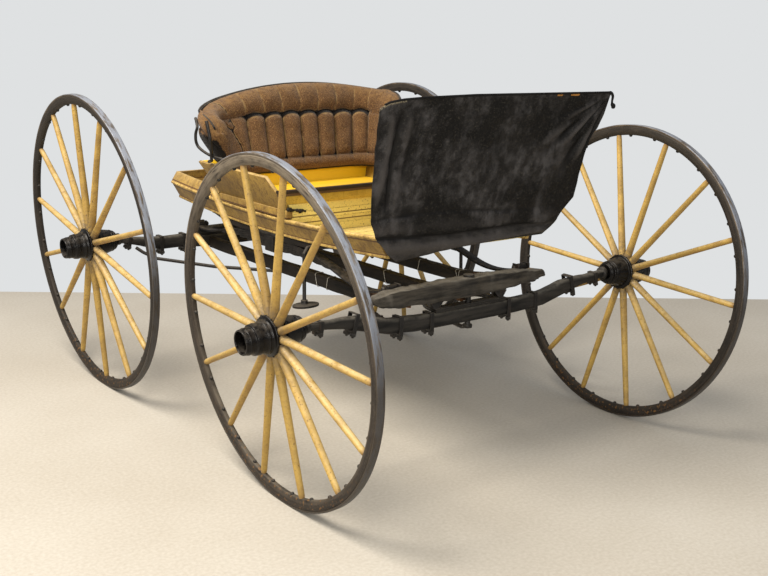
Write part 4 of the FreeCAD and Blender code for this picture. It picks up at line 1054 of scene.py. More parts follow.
# %% [markdown]
# A side spring is a pack of flat steel leaves. The main leaf runs the wagon's length, over
# its crown under the body and down to a rolled eye at each end; five shorter ones lie
# under the crown, each drawn to a thin rounded tip. A clip plate bolts the pack to its
# block. Every leaf is a loft along circular arcs, each arc starting the way the last ends.

# %% Side springs
SPRING_X, CROWN, LEAF = 278, (61, 655), 8
FRONT_EYE, REAR_EYE = (-650, 598), (651.2, 603)
ARCS = (((-400, 588), FRONT_EYE), ((500, 606), REAR_EYE))


def along_arcs(stops, heading, lower, reach, step=14):
    """Points along arcs from the crown, and the way down at each, lowered, out to reach."""
    out, here, travelled = [(CROWN[0], CROWN[1], heading)], Vector(CROWN), 0
    for stop in stops:
        chord = Vector(stop) - here
        swing = (math.atan2(chord.y, chord.x) - heading + math.pi) % (2 * math.pi) - math.pi
        radius = chord.length / 2 / math.sin(swing)
        count = max(2, int(abs(2 * swing * radius) / step))
        for number in range(1, count + 1):
            turn = swing * number / count
            away = 2 * radius * math.sin(turn)
            spot = here + Vector((math.cos(heading + turn), math.sin(heading + turn))) * away
            travelled += abs(2 * swing * radius) / count
            if reach is not None and travelled > reach:
                break
            out.append((spot.x, spot.y, heading + 2 * turn))
        if reach is not None:
            break
        here, heading = Vector(stop), heading + 2 * swing
    points = []
    for y, z, way in out:
        down = Vector((math.sin(way), -math.cos(way)))
        down = -down if down.y > 0 else down
        points.append((Vector((y, z)) + down * lower, down))
    return points


def leaf(name, x, half, lower, reach=None):
    """One leaf, as a rounded strip through both sides of the crown."""
    front = along_arcs(ARCS[0], math.pi, lower, reach)
    line = front[:0:-1] + along_arcs(ARCS[1], 0, lower, reach)
    rings = []
    for number, (spot, down) in enumerate(line):
        near_tip = min(number, len(line) - 1 - number)
        slim, narrow = 1.0, 1.0
        if reach is not None:
            slim, narrow = min(1, 0.45 + 0.2 * near_tip), min(1, 0.35 + 0.4 * near_tip)
        strip = section(0.2, (LEAF - 0.5) * slim, half * narrow, 2.2, 2)
        rings.append([
            (x + wide, spot.x + down.x * depth, spot.y + down.y * depth) for wide, depth in strip])
    return loft(name, rings)


for side, way in SIDES:
    x = way * SPRING_X
    parts = [leaf(f"main_{side}", x, 19, 0)]
    for number, reach in enumerate((410, 340, 270, 200, 130), 1):
        parts.append(leaf(f"leaf_{side}_{number}", x, 18.4, number * LEAF, reach))
    eye_ring = eased([(-19, 7), (-19, 13), (19, 13), (19, 7)], 1.5)
    for y, z in (FRONT_EYE, REAR_EYE):
        middle = Matrix.Translation((x, y, z))
        parts.append(turned(f"eye_{side}_{y}", eye_ring, 24, middle))
        bolt = [(-26, 0.2), (-26, 7), (26, 7), (26, 0.2)]
        parts.append(turned(f"bolt_{side}_{y}", bolt, 12, middle))
    clip = section(595.5, 655, 25, 5)
    parts.append(loft(f"clip_{side}", [[(x + w, y, z) for w, z in clip] for y in (31, 33, 89, 91)]))
    spring = joined(f"side_spring_{side}_leaves", spring_paint_darkened_as_shade, *parts)
    into_place(spring, "black_iron", f"side_spring_{side}")
    print(spring.name, len(spring.data.polygons), "faces")

washer = lathe("pin_washer", ((13, 0), (13, 2.5)), 16)
pin = joined("spring_eye_pins", None, washer, lathe("pin_head", ((9, 2), (9, 7), (6, 10)), 14))
places = [
    ((side * SPRING_X + way * 26.5, y, z), (way, 0, 0), 0, 1.0)
    for side in (1, -1) for way in (1, -1) for y, z in (FRONT_EYE, REAR_EYE)]
copies_at(pin, places, iron_paint, "black_iron")
print(len(places), "spring pins")

# %% [markdown]
# The body is poplar boards under yellow coach paint, satin where it is sound: a deep
# mustard, greyer where dust lies and brown where it is worn through. Its bead and moulding
# are painted paler, as painted highlight, with a brown band of painted shadow under the
# moulding and brown bands above the foot's bead and along the sills' joint. Inside the
# seat, where no sun came, it is still bright, and that yellow is laid on brighter and
# cleaner still, as painted light where the seat's inside stands in shade. Four numbers are
# stored in the meshes for it: how far a point is above the body's bottom line, for the
# bands; how bright the board is; how pale, worn wood on the floor and painted light on the
# riser; and a tone for every plank.

# %% Body finishes
def band(tree, value, low, high, soft=0.8):
    """A mask that is 1 where the value lies between low and high."""
    into, out = (
        node(tree, "ShaderNodeMapRange", {
            "Value": value, "From Min": far, "From Max": near}).outputs[0]
        for far, near in ((low - soft, low), (high + soft, high)))
    return times(tree, into, out)


body_paint, tree, at = new_finish("Poplar boards, yellow coach paint")
rise, bright, tone, worn = (
    node(tree, "ShaderNodeAttribute", attribute_name=name).outputs["Fac"]
    for name in ("rise", "bright", "tone", "worn"))
dust = times(tree, upward(tree, 0.2, 0.95), blotches(tree, at, 55, 0.3, 0.62, (0.3, 1, 1)))
chips = times(tree, rubbed_edges(tree, 4), blotches(tree, at, 20, 0.44, 0.54, seed=9))
# brown bands: a painted shadow under the moulding, others above the foot's bead and along the sills' joint; the
# bead and moulding are painted paler, as painted highlight
lining, beads = (
    either(tree, *(band(tree, rise, low, high) for low, high in lines))
    for lines in (((55.5, 59), (79, 82.5), (11.5, 14)), ((62, 77), (-1, 9))))
colour = layered(
    tree, "a3843f", ("c3a24f", tone), ("e3c06c", beads, 0.75),
    ("8f7137", blotches(tree, at, 2.6, 0.42, 0.62, detail=3.0, seed=2), 0.45),
    ("6f5529", blotches(tree, at, 90, 0.46, 0.62, (1, 1, 0.6), detail=6.0), 0.7),
    ("65492a", blotches(tree, at, 14, 0.5, 0.62, (0.18, 1, 1), detail=5.0, seed=3), 0.5),
    ("5f4526", blotches(tree, at, 16, 0.52, 0.64, (1, 1, 0.2), detail=5.0, seed=13), 0.5),
    ("f4de80", worn, 0.9), ("d8bc82", dust, 0.5),
    # the seat's unfaded yellow, laid over the stains at full strength, partly as painted light
    ("4a2f1a", blotches(tree, at, 7, 0.58, 0.66, seed=6), 0.7), ("ffce1e", bright, 0.94),
    # the brown bands, the one under the moulding a painted shadow
    ("6a4629", chips, 0.85), ("4f3120", lining, 0.85),
)
grain = blotches(tree, at, 12, 0.3, 0.7, (0.15, 1, 1))
finish(tree, colour, 0.5, grain, 0.5, Specular_IOR_Level=0.4)

rail_paint, tree, at = new_finish("Seat rail, brown over yellow")
height = node(tree, "ShaderNodeSeparateXYZ", {0: at}).outputs[2]
rubbed = band(tree, height, 0.8285, 0.8365, 0.001)
colour = layered(
    tree, "170e09", ("2e1d12", blotches(tree, at, 14, 0.4, 0.62, (0.2, 1, 1))),
    ("6e4d2a", rubbed, blotches(tree, at, 40, 0.35, 0.45, (0.2, 1, 1)), 0.6))
finish(tree, colour, 0.5, blotches(tree, at, 7, 0.3, 0.7, (0.15, 1, 1)), 0.4)
print("finishes:", body_paint.name, "|", rail_paint.name)

# %% [markdown]
# The body's boards follow its sweep, an arc nearly nine metres in radius, so they are
# lofted along that arc from a section across it. The sides carry a bead along the foot and
# a moulding along the brim; a low coaming leans in round the boot behind the seat.

# %% Swept boards: sides, end panels and coaming
SWEEP, BODY_LOW, BODY_MID, BODY_HALF = 8800, 667, 61, 717.5
PANEL = 12  # thickness of the end boards
SIDE = (
    # across, rise: the outer face with its bead and moulding, then the inner face
    (301, 0), (306, 3), (306, 9), (304, 12), (335, 63), (341, 66), (342, 72), (339, 75),
    (326, 75), (288, 0))
COAMING = ((339, 75), (317, 112), (307, 112), (327, 75))
COAMING_FRONT = 336  # behind the body's middle


def swept_board(name, profile, start, end, soft=1.2, step=40):
    """A board along the body's arc from start to end, from (across, rise) corners."""
    count = max(2, round((end - start) / step))
    rings, corners = [], eased(profile, soft)
    for number in range(count + 1):
        angle = (start + (end - start) * number / count) / SWEEP
        ahead, up = math.sin(angle), math.cos(angle)
        rings.append([
            (across, BODY_MID + (SWEEP - rise) * ahead, BODY_LOW + SWEEP - (SWEEP - rise) * up)
            for across, rise in corners])
    return loft(name, rings, body_paint)


def rise_of(point):
    """Height of a point, in millimetres, above the body's bottom line. The point is in metres."""
    y = point.y * 1000 - BODY_MID
    return point.z * 1000 - BODY_LOW - SWEEP + math.sqrt(SWEEP ** 2 - y ** 2)


def body_piece(piece, bright, *replaced):
    """Places a body board and marks it for its paint."""
    into_place(piece, "body_yellow", *replaced)
    mark(piece, "rise", rise_of)
    return mark(piece, "bright", bright)


def between(low, high):
    """A trapezoid half a millimetre clear of the body's sides, from one rise to another."""
    foot, brim = (288 + 38 * rise / 75 - 0.5 for rise in (low, high))
    return [(-foot, low), (foot, low), (brim, high), (-brim, high)]


for side, way in SIDES:
    profile = [(way * across, rise) for across, rise in SIDE]
    board = swept_board(f"body_side_{side}_painted", profile, -BODY_HALF, BODY_HALF)
    body_piece(board, 0.0, f"body_side_{side}")
for name, start, bright in (("front", -BODY_HALF, 0.3), ("rear", BODY_HALF - PANEL, 0.0)):
    panel = swept_board(f"body_{name}_panel_painted", between(18, 75), start, start + PANEL)
    body_piece(panel, bright, f"body_{name}_panel")
rim = [
    swept_board(f"coaming_{side}", [(way * a, r) for a, r in COAMING], COAMING_FRONT, BODY_HALF, 2)
    for side, way in SIDES]
back = [(-339, 75), (339, 75), (317, 112), (-317, 112)]
rim.append(swept_board("coaming_rear", back, BODY_HALF - PANEL, BODY_HALF, 2))
body_piece(joined("boot_coaming_painted", body_paint, *rim), 0.0, "boot_coaming")
print("body boards along an arc of", SWEEP, "mm")

# %% [markdown]
# The floor is a row of short boards laid across. Their edges have shrunk apart, so a dark
# line shows between them, and each has taken its own colour. A Geometry Nodes tree lays
# one board again and again along the arc: how many, how far apart and on what radius are
# its inputs, and a random number sets each board's tone and its small step up or down. Its
# sums are listed in the order they are done. How far along the arc a board lies gives its
# angle, and the angle gives how far ahead and how high it is.

# %% Floor boards
planks_tree, given = new_tree(
    "Boards along an arc", Count=("Int", 12), Start=("Float", 0.0), Pitch=("Float", 100.0),
    Radius=("Float", 1000.0), Middle=("Float", 0.0), Low=("Float", 0.0),
    Finish=("Material", None))
sums = {"one": 1.0, **dict(given.items())}
sums["board"] = node(planks_tree, "GeometryNodeInputIndex").outputs[0]
uneven = {2: -0.7, 3: 0.7, "Seed": 4}
sums["warp"] = node(
    planks_tree, "FunctionNodeRandomValue", uneven, data_type="FLOAT").outputs[1]
for result, operation, *names in (  # each sum's name, what it does, and what it takes
        ("along", "MULTIPLY_ADD", "board", "Pitch", "Start"),
        ("angle", "DIVIDE", "along", "Radius"), ("sine", "SINE", "angle"),
        ("ahead", "MULTIPLY_ADD", "sine", "Radius", "Middle"),
        ("cosine", "COSINE", "angle"), ("drop", "SUBTRACT", "one", "cosine"),
        ("low", "ADD", "Low", "warp"), ("up", "MULTIPLY_ADD", "drop", "Radius", "low")):
    inputs = {place: sums[name] for place, name in enumerate(names)}
    sums[result] = node(planks_tree, "ShaderNodeMath", inputs, operation=operation).outputs[0]
spot = node(planks_tree, "ShaderNodeCombineXYZ", {1: sums["ahead"], 2: sums["up"]}).outputs[0]
spots = node(planks_tree, "GeometryNodePoints", {"Count": given["Count"], "Position": spot})
turn = node(planks_tree, "ShaderNodeCombineXYZ", {0: sums["angle"]}).outputs[0]
lay_copies(planks_tree, given, spots.outputs[0], turn, 11)

BOARDS, FLOOR_RISE = 13, 18
pitch = 2 * BODY_HALF / BOARDS
rings = []
for across in range(-291, 292, 97):
    edge = section(-11.4, 0, pitch / 2 - 1.3, 1.6)
    rings.append([(across, wide, height + 0.5 * math.cos(across / 60)) for wide, height in edge])
floor_boards = grown(
    loft("body_floor_boards", rings), planks_tree, Count=BOARDS, Start=pitch / 2 - BODY_HALF,
    Pitch=pitch, Radius=float(SWEEP - FLOOR_RISE), Middle=float(BODY_MID),
    Low=float(BODY_LOW + FLOOR_RISE), Finish=body_paint)
body_piece(floor_boards, 0.0, "body_floor")
mark(floor_boards, "worn", 0.75)
print(BOARDS, "floor boards,", round(pitch), "mm wide")

# %% [markdown]
# The seat box stands on sills along the brim. Its sides flare out and are scooped down at
# the front to a rail; a heel board closes it below. These are flat boards, so the eased
# copies serve, each marked for how bright its yellow is, partly unfaded paint and partly
# painted light.

# %% Seat box
SEAT_BOARDS = {
    # how far its edges are eased, and how bright it is, all over or from a point on
    "seat_sills": (2, 0), "seat_side_left": (2, 0.15), "seat_side_right": (2, 0.0),
    "seat_rear_board": (1.5, lambda p: 1 if p.y < 0.352 + 0.479 * (p.z - 0.776) else 0),
    "seat_board": (1.5, lambda p: 1 if p.y > 0.1 else 0),
}
SCOOP = {(2, 898): (82, 8), (-128, 832): (-4, 25)}  # corner (y, z): how far forward and down
INWARD = 0.52  # how far a seat side leans for each millimetre of height
for name, (soft, bright) in SEAT_BOARDS.items():
    board = softened(f"{name}_painted", [name], body_paint, "body_yellow", soft)
    if "side" in name:  # the sides' scoop is steeper at the front than a straight cut
        for vertex in board.data.vertices:
            for (y, z), (ahead, down) in SCOOP.items():
                if math.hypot(vertex.co.y * 1000 - y, vertex.co.z * 1000 - z) < 12:
                    lean = math.copysign(down, -vertex.co.x) * INWARD
                    vertex.co += Vector((lean, -ahead, -down)) / 1000
    mark(board, "bright", bright)
    mark(board, "rise", rise_of)
print("seat box of", len(SEAT_BOARDS), "pieces")

# %% [markdown]
# Under the seat's front edge stands a riser of four thin boards and a top one, each with a
# tone of its own, the four lower ones painted pale, as painted light, since the riser faces
# away from the lamps. Over it runs a dark rail of two thin bars, bowed forward a little.
# Each is a loft of a rounded oblong.

# %% Riser and rail
RISER = (
    # low, high, half widths there, how pale it is painted, as painted light, how far back it stands, tone
    (688, 713, 297, 309, 1.0, 0, 0.2), (713.6, 739, 309, 322, 0.8, 0.8, 0.8),
    (739.6, 767, 318, 318, 1.0, -0.5, 0.5), (767.6, 795, 318, 330, 0.9, 0.5, 1.0),
)
parts = []
for number, (low, high, below, above, painted_paleness, shift, tone) in enumerate(RISER):
    ring = eased([(-below, low), (below, low), (above, high), (-above, high)], 1.5)
    places = [[(x, y + shift, z) for x, z in ring] for y in (-121.5, -120.5, -111, -110.5)]
    board = mark(loft(f"riser_{number}", places), "worn", painted_paleness)
    parts.append(mark(board, "tone", tone))


def rail_bar(name, low, high, front, rear, wide):
    """A bar across under the seat's front edge, bowed forward a little."""
    rings = []
    profile = eased([(front, low), (rear, low), (rear, high), (front, high)], 1.6)
    for step in range(25):
        x = wide * (step / 12 - 1)
        bow = 12 * (1 - (x / wide) ** 2)
        rings.append([(x, y - bow, z) for y, z in profile])
    return loft(name, rings)


top_board = mark(rail_bar("riser_top", 795.6, 828, -121, -109, 340), "tone", 0.3)
parts.append(mark(top_board, "bright", 0.28))
riser = into_place(joined("seat_riser_painted", body_paint, *parts), "body_yellow", "seat_riser")
mark(riser, "rise", rise_of)
bars = (
    rail_bar("rail_top", 837.5, 846.5, -130, -107, 372),
    rail_bar("rail_foot", 826.5, 836, -127, -109, 368))
into_place(joined("seat_rail_painted", rail_paint, *bars), "brown_wood", "seat_rail")
print("riser of", len(RISER) + 1, "boards, rail of", len(bars), "bars")

# %% [markdown]
# A packing piece lies under each side of the body, over the springs: a strip of ash that
# follows the sweep and thins out at both ends. A scrap of old leather has been left at the
# front end of the right seat side, limp and lumpy, so it is a rod of uneven thickness.

# %% Packing under the body, and a scrap of leather
for side, way in SIDES:
    rings = []
    for step in range(41):
        y = -350 + 850 * step / 40
        under = BODY_LOW + SWEEP - math.sqrt(SWEEP ** 2 - (y - BODY_MID) ** 2)
        thick = 21 * min(1, max(0.12, step / 6), max(0.12, (40 - step) / 6))
        low = under - thick
        strip = eased([(262, low), (300, low), (300, under), (262, under)], 1.5)
        rings.append([(way * x, y, z) for x, z in strip])
    into_place(loft(f"body_packing_{side}", rings, perch_wood), "black_wood")
scrap = [
    (-342 + 11 * n, -129 - 2 * math.sin(n * 1.7), 781 - 1.8 * n + 1.5 * math.sin(n * 2.3))
    for n in range(8)]
lumps = [5.6 + 2 * math.sin(n * 0.55) + 1.2 * math.sin(n * 1.9) for n in range(22)]
leather = rod("leather_scrap", smooth_path(scrap, 3), lumps, spring_paint_darkened_as_shade, 7)
into_place(leather, "black_iron")
print("packing under", len(SIDES), "sides")

# %% [markdown]
# The seat back is a leather-covered shell bent round in a U and lined with brown woollen
# cloth over horsehair. The cloth is drawn in at a row of tufts two thirds up and at a row
# of buttons near the foot. Between them it stands in pipes, above it rolls over the rim in
# shallow pleats, and below it is one plain roll. The wool has a nap that catches light at
# a glancing angle. It is paler on the top of the rim and in a fringe beside the seams, and
# its seams, creases and the pulls at the tufts and buttons are darkened as painted shade.
# Its weave, drawn 1.1 mm wide, and the leather's grain, drawn 2.4 mm wide, are both
# coarser than real: at their true size neither would show from where a person stands.

# %% Cloth and leather finishes
wool, tree, at = new_finish("Woollen cloth, brown")
seam, crest, torn = (
    node(tree, "ShaderNodeAttribute", attribute_name=name).outputs["Fac"]
    for name in ("seam", "crest", "torn"))
ragged = {0: torn, 1: blotches(tree, at, 24, 0.3, 0.7, detail=6.0, seed=11), 2: torn}
ragged = node(tree, "ShaderNodeMath", ragged, operation="MULTIPLY_ADD").outputs[0]
nap = blotches(tree, at, 3.2, 0.35, 0.7, (1, 1, 0.6), detail=6.0)
weave = blotches(tree, at, 1.1, 0.3, 0.7, detail=2.0)
fringe = times(tree, band(tree, seam, 0.55, 0.82, 0.12), blotches(tree, at, 24, 0.4, 0.6, seed=2))
colour = layered(
    tree, "432d1c", ("563c26", blotches(tree, at, 110, 0.38, 0.66)), ("7f5e3b", nap, 0.5),
    ("33210f", blotches(tree, at, 3.4, 0.5, 0.62, detail=3.0, seed=21), 0.5),
    ("94754a", blotches(tree, at, 2.8, 0.53, 0.62, (1, 1, 0.5), detail=3.0, seed=31), 0.55),
    ("8d6c40", crest, blotches(tree, at, 16, 0.35, 0.65, seed=7), 0.6), ("a08658", fringe, 0.4),
    ("b29a72", blotches(tree, at, 4, 0.66, 0.74, seed=5), 0.6),
    # painted shade in the seams, the creases and round the tufts and buttons
    ("0a0604", band(tree, seam, 0.86, 2, 0.1), 0.97), ("15120f", band(tree, ragged, 0.62, 4, 0.04)),
)
both = node(tree, "ShaderNodeMath", {0: nap, 1: weave, 2: nap}, operation="MULTIPLY_ADD")
finish(
    tree, colour, 0.95, both.outputs[0], 0.8, Sheen_Weight=0.12, Sheen_Roughness=0.5,
    Specular_IOR_Level=0.1)

old_leather, tree, at = new_finish("Leather, black, old and dull")
mottle = blotches(tree, at, 120, 0.4, 0.64, detail=7.0)
dust = times(tree, upward(tree, 0.25, 0.95), blotches(tree, at, 22, 0.3, 0.6))
rub = times(tree, rubbed_edges(tree, 4), blotches(tree, at, 18, 0.45, 0.6, seed=8))
grain = blotches(tree, at, 2.4, 0.35, 0.65, detail=5.0)
colour = layered(
    tree, "0e0c0b", ("201d1b", mottle),
    ("383533", blotches(tree, at, 26, 0.5, 0.66, detail=7.0, seed=4), 0.55),
    ("6b6357", dust, 0.55), ("6e5c46", rub, 0.6), ("181513", grain, 0.25),
)
rough = node(tree, "ShaderNodeMapRange", {"Value": mottle, "To Min": 0.5, "To Max": 0.72})
finish(tree, colour, rough.outputs[0], grain, 0.4, Specular_IOR_Level=0.35)
print("finishes:", wool.name, "|", old_leather.name)

# %% [markdown]
# The back's shape is a U whose size changes from foot to rim, so a place on it is given by
# how far it is round from the middle, its height, and how thick the stuffing stands there.
# The shell's sizes are known at its foot and its rim, and any height between is a mix of
# the two. The seams fan out with the U, so their places are worked out the same way.

# %% The seat back's U
BACK_LOW, BACK_HIGH, BACK_TOP = 847, 1167, 1163
BACK_SIZES = (  # half width, rear, front and corner radius, each at the foot and at the rim
    (358, 462), (374, 492), (262, 236), (110, 200))
ROUND_FROM, ROUND_TO, ROUNDING = 324, 236, 90  # the rim's front ends: from, to, and radius
LINING = 59.5  # from the shell's outer face to the cushion's
FOOT = 839  # the lining hangs a little below its shell
TUFTS, BUTTONS = 1056, 890  # heights of the two rows
SEAMS = [number - 2.5 for number in range(7)] + [4.2]


def back_sizes(height):
    """Half width, rear, front and corner radius of the shell at a height."""
    level = (height - BACK_LOW) / (BACK_HIGH - BACK_LOW)
    return [foot + (rim - foot) * level for foot, rim in BACK_SIZES]


def back_place(round_it, height, thick):
    """The point at a distance round from the middle, where the stuffing is thick millimetres."""
    half, rear, _, corner = back_sizes(height)
    flat, bend = half - corner, corner - LINING
    out, side = abs(round_it), 1 if round_it >= 0 else -1
    if out <= flat:
        spot, normal = Vector((out, rear - LINING)), Vector((0, 1))
    elif out <= flat + bend * math.pi / 2:
        turn = (out - flat) / bend
        normal = Vector((math.sin(turn), math.cos(turn)))
        spot = Vector((flat, rear - corner)) + normal * bend
    else:
        spot = Vector((half - LINING, rear - corner - (out - flat - bend * math.pi / 2)))
        normal = Vector((1, 0))
    spot += normal * (LINING - 8 - thick)
    return Vector((spot.x * side, spot.y, height))


def half_round(height):
    """The distance round from the middle to a front end at a height."""
    half, rear, front, corner = back_sizes(height)
    return half - corner + (corner - LINING) * math.pi / 2 + rear - corner - front


def rim_height(x, y):
    """The shell's top edge: crowned, lower on the right, and rounded down at its front ends."""
    crown = BACK_TOP + 0.0646 * x - 3.168e-4 * x * x
    if y >= ROUND_FROM:
        return crown
    top, ahead = BACK_TOP - 0.8 * (42 if x > 0 else 104), ROUND_FROM - max(y, ROUND_TO)
    return min(crown, top - ROUNDING + math.sqrt(max(0, ROUNDING ** 2 - ahead ** 2)))


def seam_at(number, height):
    """Distance round from the middle to a seam at a height."""
    if height <= TUFTS:
        up = (height - BUTTONS) / (TUFTS - BUTTONS)
        return -10 + 20 * up + number * (77 + 4 * up)
    return 10 + number * (81 + 9 * (height - TUFTS) / 100)


print("half length of the lining at the tufts", round(half_round(TUFTS)), "mm")

# %% [markdown]
# The stuffing's thickness is worked out along each column of the mesh, from the foot up the
# face, over the rim and down the shell's inner side. A pipe's swell is a half ellipse from
# seam to seam, and it dies away where the tufts and buttons pull. Past the last seam the
# cloth is calm, and a few long creases cross it instead.

# %% Pipes, rolls and creases
CREASES = (  # each a line of (distance round, height)
    ((-430, 1062), (-385, 1055), (-345, 1044), (-308, 1027), (-275, 1004), (-247, 945),
     (-244, 915)),
    ((-283, 1038), (-270, 1044), (-262, 1018), (-277, 1000)),
    ((-330, 1118), (-306, 1099), (-286, 1072)), ((-372, 1000), (-350, 940), (-345, 900)),
)


def swell(part):
    """How far a pipe stands out, from 0 at its seams to 1 in its middle."""
    return math.sqrt(max(0.0, 1 - abs(2 * part - 1) ** 2.4))


def crease_depth(round_it, height):
    """How deep the long creases of the calm right end are at a place."""
    here, deep = Vector((round_it, height)), 0.0
    for line in CREASES:
        for start, end in zip(line, line[1:]):
            a, b = Vector(start), Vector(end)
            part = clamp((here - a).dot(b - a) / (b - a).length_squared)
            deep = max(deep, math.exp(-((here - a.lerp(b, part)).length / 5) ** 2))
    return deep


def stuffing(full, calm, tufts, top, beside):
    """Rows up one column, each its height, its thickness and how much painted shade it gets there.

    full is 1 in a pipe's middle and 0 at a seam, calm is 1 past the last seam, and beside is
    the distance to the nearest seam.
    """
    rows = []
    for step in range(12):  # the lower roll
        a = step / 12
        thick = 12 + 37 * math.sin(math.pi * min(1, a * 0.93)) ** 0.75 + 20 * a ** 3
        pulled = 1.3 - ((1 - a) * (BUTTONS - FOOT) + beside) / 11
        dark = max((1 - full) * a ** 4, (1 - calm) * pulled)
        rows.append((FOOT + a * (BUTTONS - FOOT), thick - (1 - full) * 14 * a ** 3, clamp(dark)))
    for step in range(34):  # the pipes
        b = step / 34
        end = min(1, b / 0.16) ** 0.5 * min(1, (1 - b) / 0.12) ** 0.5
        low, pull = (35, 20) if b < 0.5 else (28 + 26 * calm, 10 + 40 * calm)
        standing = low + (56 - low) * end
        seam = pull + (27 - pull + 26 * calm * b) * min(1, end * 1.6)
        above, below = b * (tufts - BUTTONS), (1 - b) * (tufts - BUTTONS)
        dark = max(
            (1 - full) * 0.86, (1 - calm) * (1.25 - below / 20),
            1.5 - (below + beside) / 22, 1.6 - (0.3 * above + beside) / 9)
        rows.append((BUTTONS + above, seam + (standing - seam) * full, clamp(dark)))
    for step in range(26):  # the roll over the rim
        c = step / 25
        turn = math.radians(-84 + 218 * c)
        pleat = 15 * math.exp(-c * 9) + 5.5 * max(0, math.cos(turn * 0.8))
        pleat = (1 - full) * (1 - calm) * pleat
        valley = 25 + 24 * calm * math.exp(-c * 7)
        thick = valley + (60 - valley) * math.cos(turn) - pleat
        height = (tufts + top) / 2 + ((top - tufts) / 2 - 0.35 * pleat) * math.sin(turn)
        dark = max(
            (1 - full) * (0.9 - 0.2 * min(1, c * 3)), (1 - calm) * (1.2 - c * 6),
            1.5 - ((height - tufts) + beside) / 20)
        rows.append((height, thick, clamp(dark)))
    return rows


print(len(stuffing(1, 0, TUFTS, BACK_TOP, 0)), "rows up a column of the lining")

# %% [markdown]
# The mesh is laid out so that every seam is a column of its own, which keeps the creases
# sharp. A cloth simulation would puff the pipes up, but it can't keep eight seams straight,
# so none is used. Dents from noise break the evenness. At each front end the columns turn
# round the shell's edge and a little way back. How much painted shade a place gets, how
# near the crest, and how torn are stored for the finish.

# %% Tufted lining
END_COLUMNS, PIPE_COLUMNS = 60, 14


def end_place(out):
    """Shares of the flat run and of the way back, and the angle between, at a share of an end."""
    if out < 0.5:
        return out / 0.5, 0.0, 0.0
    if out < 0.82:
        return 1.0, 0.0, math.pi * (out - 0.5) / 0.32
    return 1.0, (out - 0.82) / 0.18, math.pi


def column(left, right, part):
    """One column's points and marks, a share part of the way from seam left to seam right."""
    end = left is None or right is None
    run, back, turn = end_place((1 - part if left is None else part) if end else 0)
    wrap = math.cos(turn)

    def around(height):
        """How far round from the middle the column is at a height."""
        if not end:
            near, far = seam_at(left, height), seam_at(right, height)
            return near + (far - near) * part
        seam = seam_at(right if left is None else left, height)
        near, far = abs(seam), half_round(height) - 33
        return math.copysign(near + (far - near) * run + 46 * math.sin(turn) - 85 * back, seam)

    full, calm = (min(1, math.sqrt(run * 6)), min(1, run * 4)) if end else (swell(part), 0.0)
    beside = 0.5 * half_round(1000) * run if end else min(part, 1 - part) * 80
    spot = back_place(around(1110), 1110, 26)
    top = rim_height(spot.x * 1.03, spot.y) + 3
    tufts = TUFTS - 6 - 6 * abs(around(1000)) / 400 + 15 * full ** 2 * (1 - calm)
    ring, marks = [], []
    for height, thick, dark in stuffing(full, calm, min(tufts, top - 56), top, beside):
        place = around(min(height, 1160))
        if wrap < 1:  # round the shell's edge
            outside = 20 + 24 * math.exp(-((height - 1000) / 55) ** 2)
            middle = (56 - outside) / 2
            thick = middle + (thick - middle) * wrap
            thick += (-5 - thick) * back ** 2
        crease = crease_depth(place, height) * max(0.0, wrap) if place < -230 and end else 0.0
        dent = 3.4 * noise.noise(Vector((place / 55, height / 40, 3)))
        dent += 1.5 * noise.noise(Vector((place / 17, height / 26, 9)))
        dent *= min(1, max(0, thick) / 30) if wrap > 0.5 else 0.6
        ring.append(back_place(place, height, thick - 7 * crease + dent))
        torn = 0.5 + min(-0.35 - wrap, (950 - 45 * wrap - height) / 120) if left is None else 0.0
        crest = (height - top + 45) / 40
        # dark: painted shade in the seams, the pulls and the creases
        marks.append((clamp(max(dark, 1.3 * crease)), clamp(crest), clamp(torn)))
    for step in range(6):  # down the shell's inner side
        height = top - 20 - (top - 26 - BACK_LOW) * step / 5
        inside = min(abs(around(height)), half_round(height) - 4)
        place = math.copysign(inside, around(height))
        ring.append(back_place(place, height, 1.5 if wrap > -0.3 else -4))
        marks.append((0, 0, 0))
    return ring, marks


def lining():
    """The whole tufted lining as one closed mesh."""
    rings, marks = [], []
    for left, right in zip([None] + SEAMS, SEAMS + [None]):
        count = END_COLUMNS if None in (left, right) else PIPE_COLUMNS
        for step in range(count + (1 if right is None else 0)):
            ring, stored = column(left, right, step / count)
            rings.append(ring)
            marks += stored
    made = loft("seat_back_lining", rings, wool, sharp=85)
    for name, values in zip(("seam", "crest", "torn"), zip(*marks)):
        mark(made, name, list(values))
    smoother = made.modifiers.new("finer", "SUBSURF")
    smoother.levels = smoother.render_levels = 1
    return as_mesh(made)


cushion = into_place(lining(), "cloth_brown", "seat_back_cushion")
print("lining", len(cushion.data.polygons), "faces")

# %% [markdown]
# The shell behind the lining is one skin of black leather cloth. A welt of the same leather
# hides the join along the rim, another binds the foot, and a button covers the end of
# every stitch that pulls the lining in. A bent iron rod braces the right end to the seat.

# %% Shell, welts, arm iron and buttons
softened("seat_back_shell_leather", ["seat_back_shell"], old_leather, "seat_shell_leather", 1.5)


def back_welt(name, radius, height_of, thick, inset, start):
    """A welt round the back from a share of the way round, at a height that may follow the rim."""
    path = []
    for step in range(97):
        share = start + (1 - start) * step / 96
        height = height_of(share)
        path.append(back_place(share * (half_round(height) - inset), height, thick))
    return into_place(rod(name, path, radius, old_leather), "seat_shell_leather")


def rim_at(share):
    """The rim's height at a share of the way round, where each guess gives a better one."""
    height = 1120
    for _ in range(3):
        spot = back_place(share * half_round(height), height, -3)
        height = rim_height(spot.x, spot.y) + 0.5
    return height


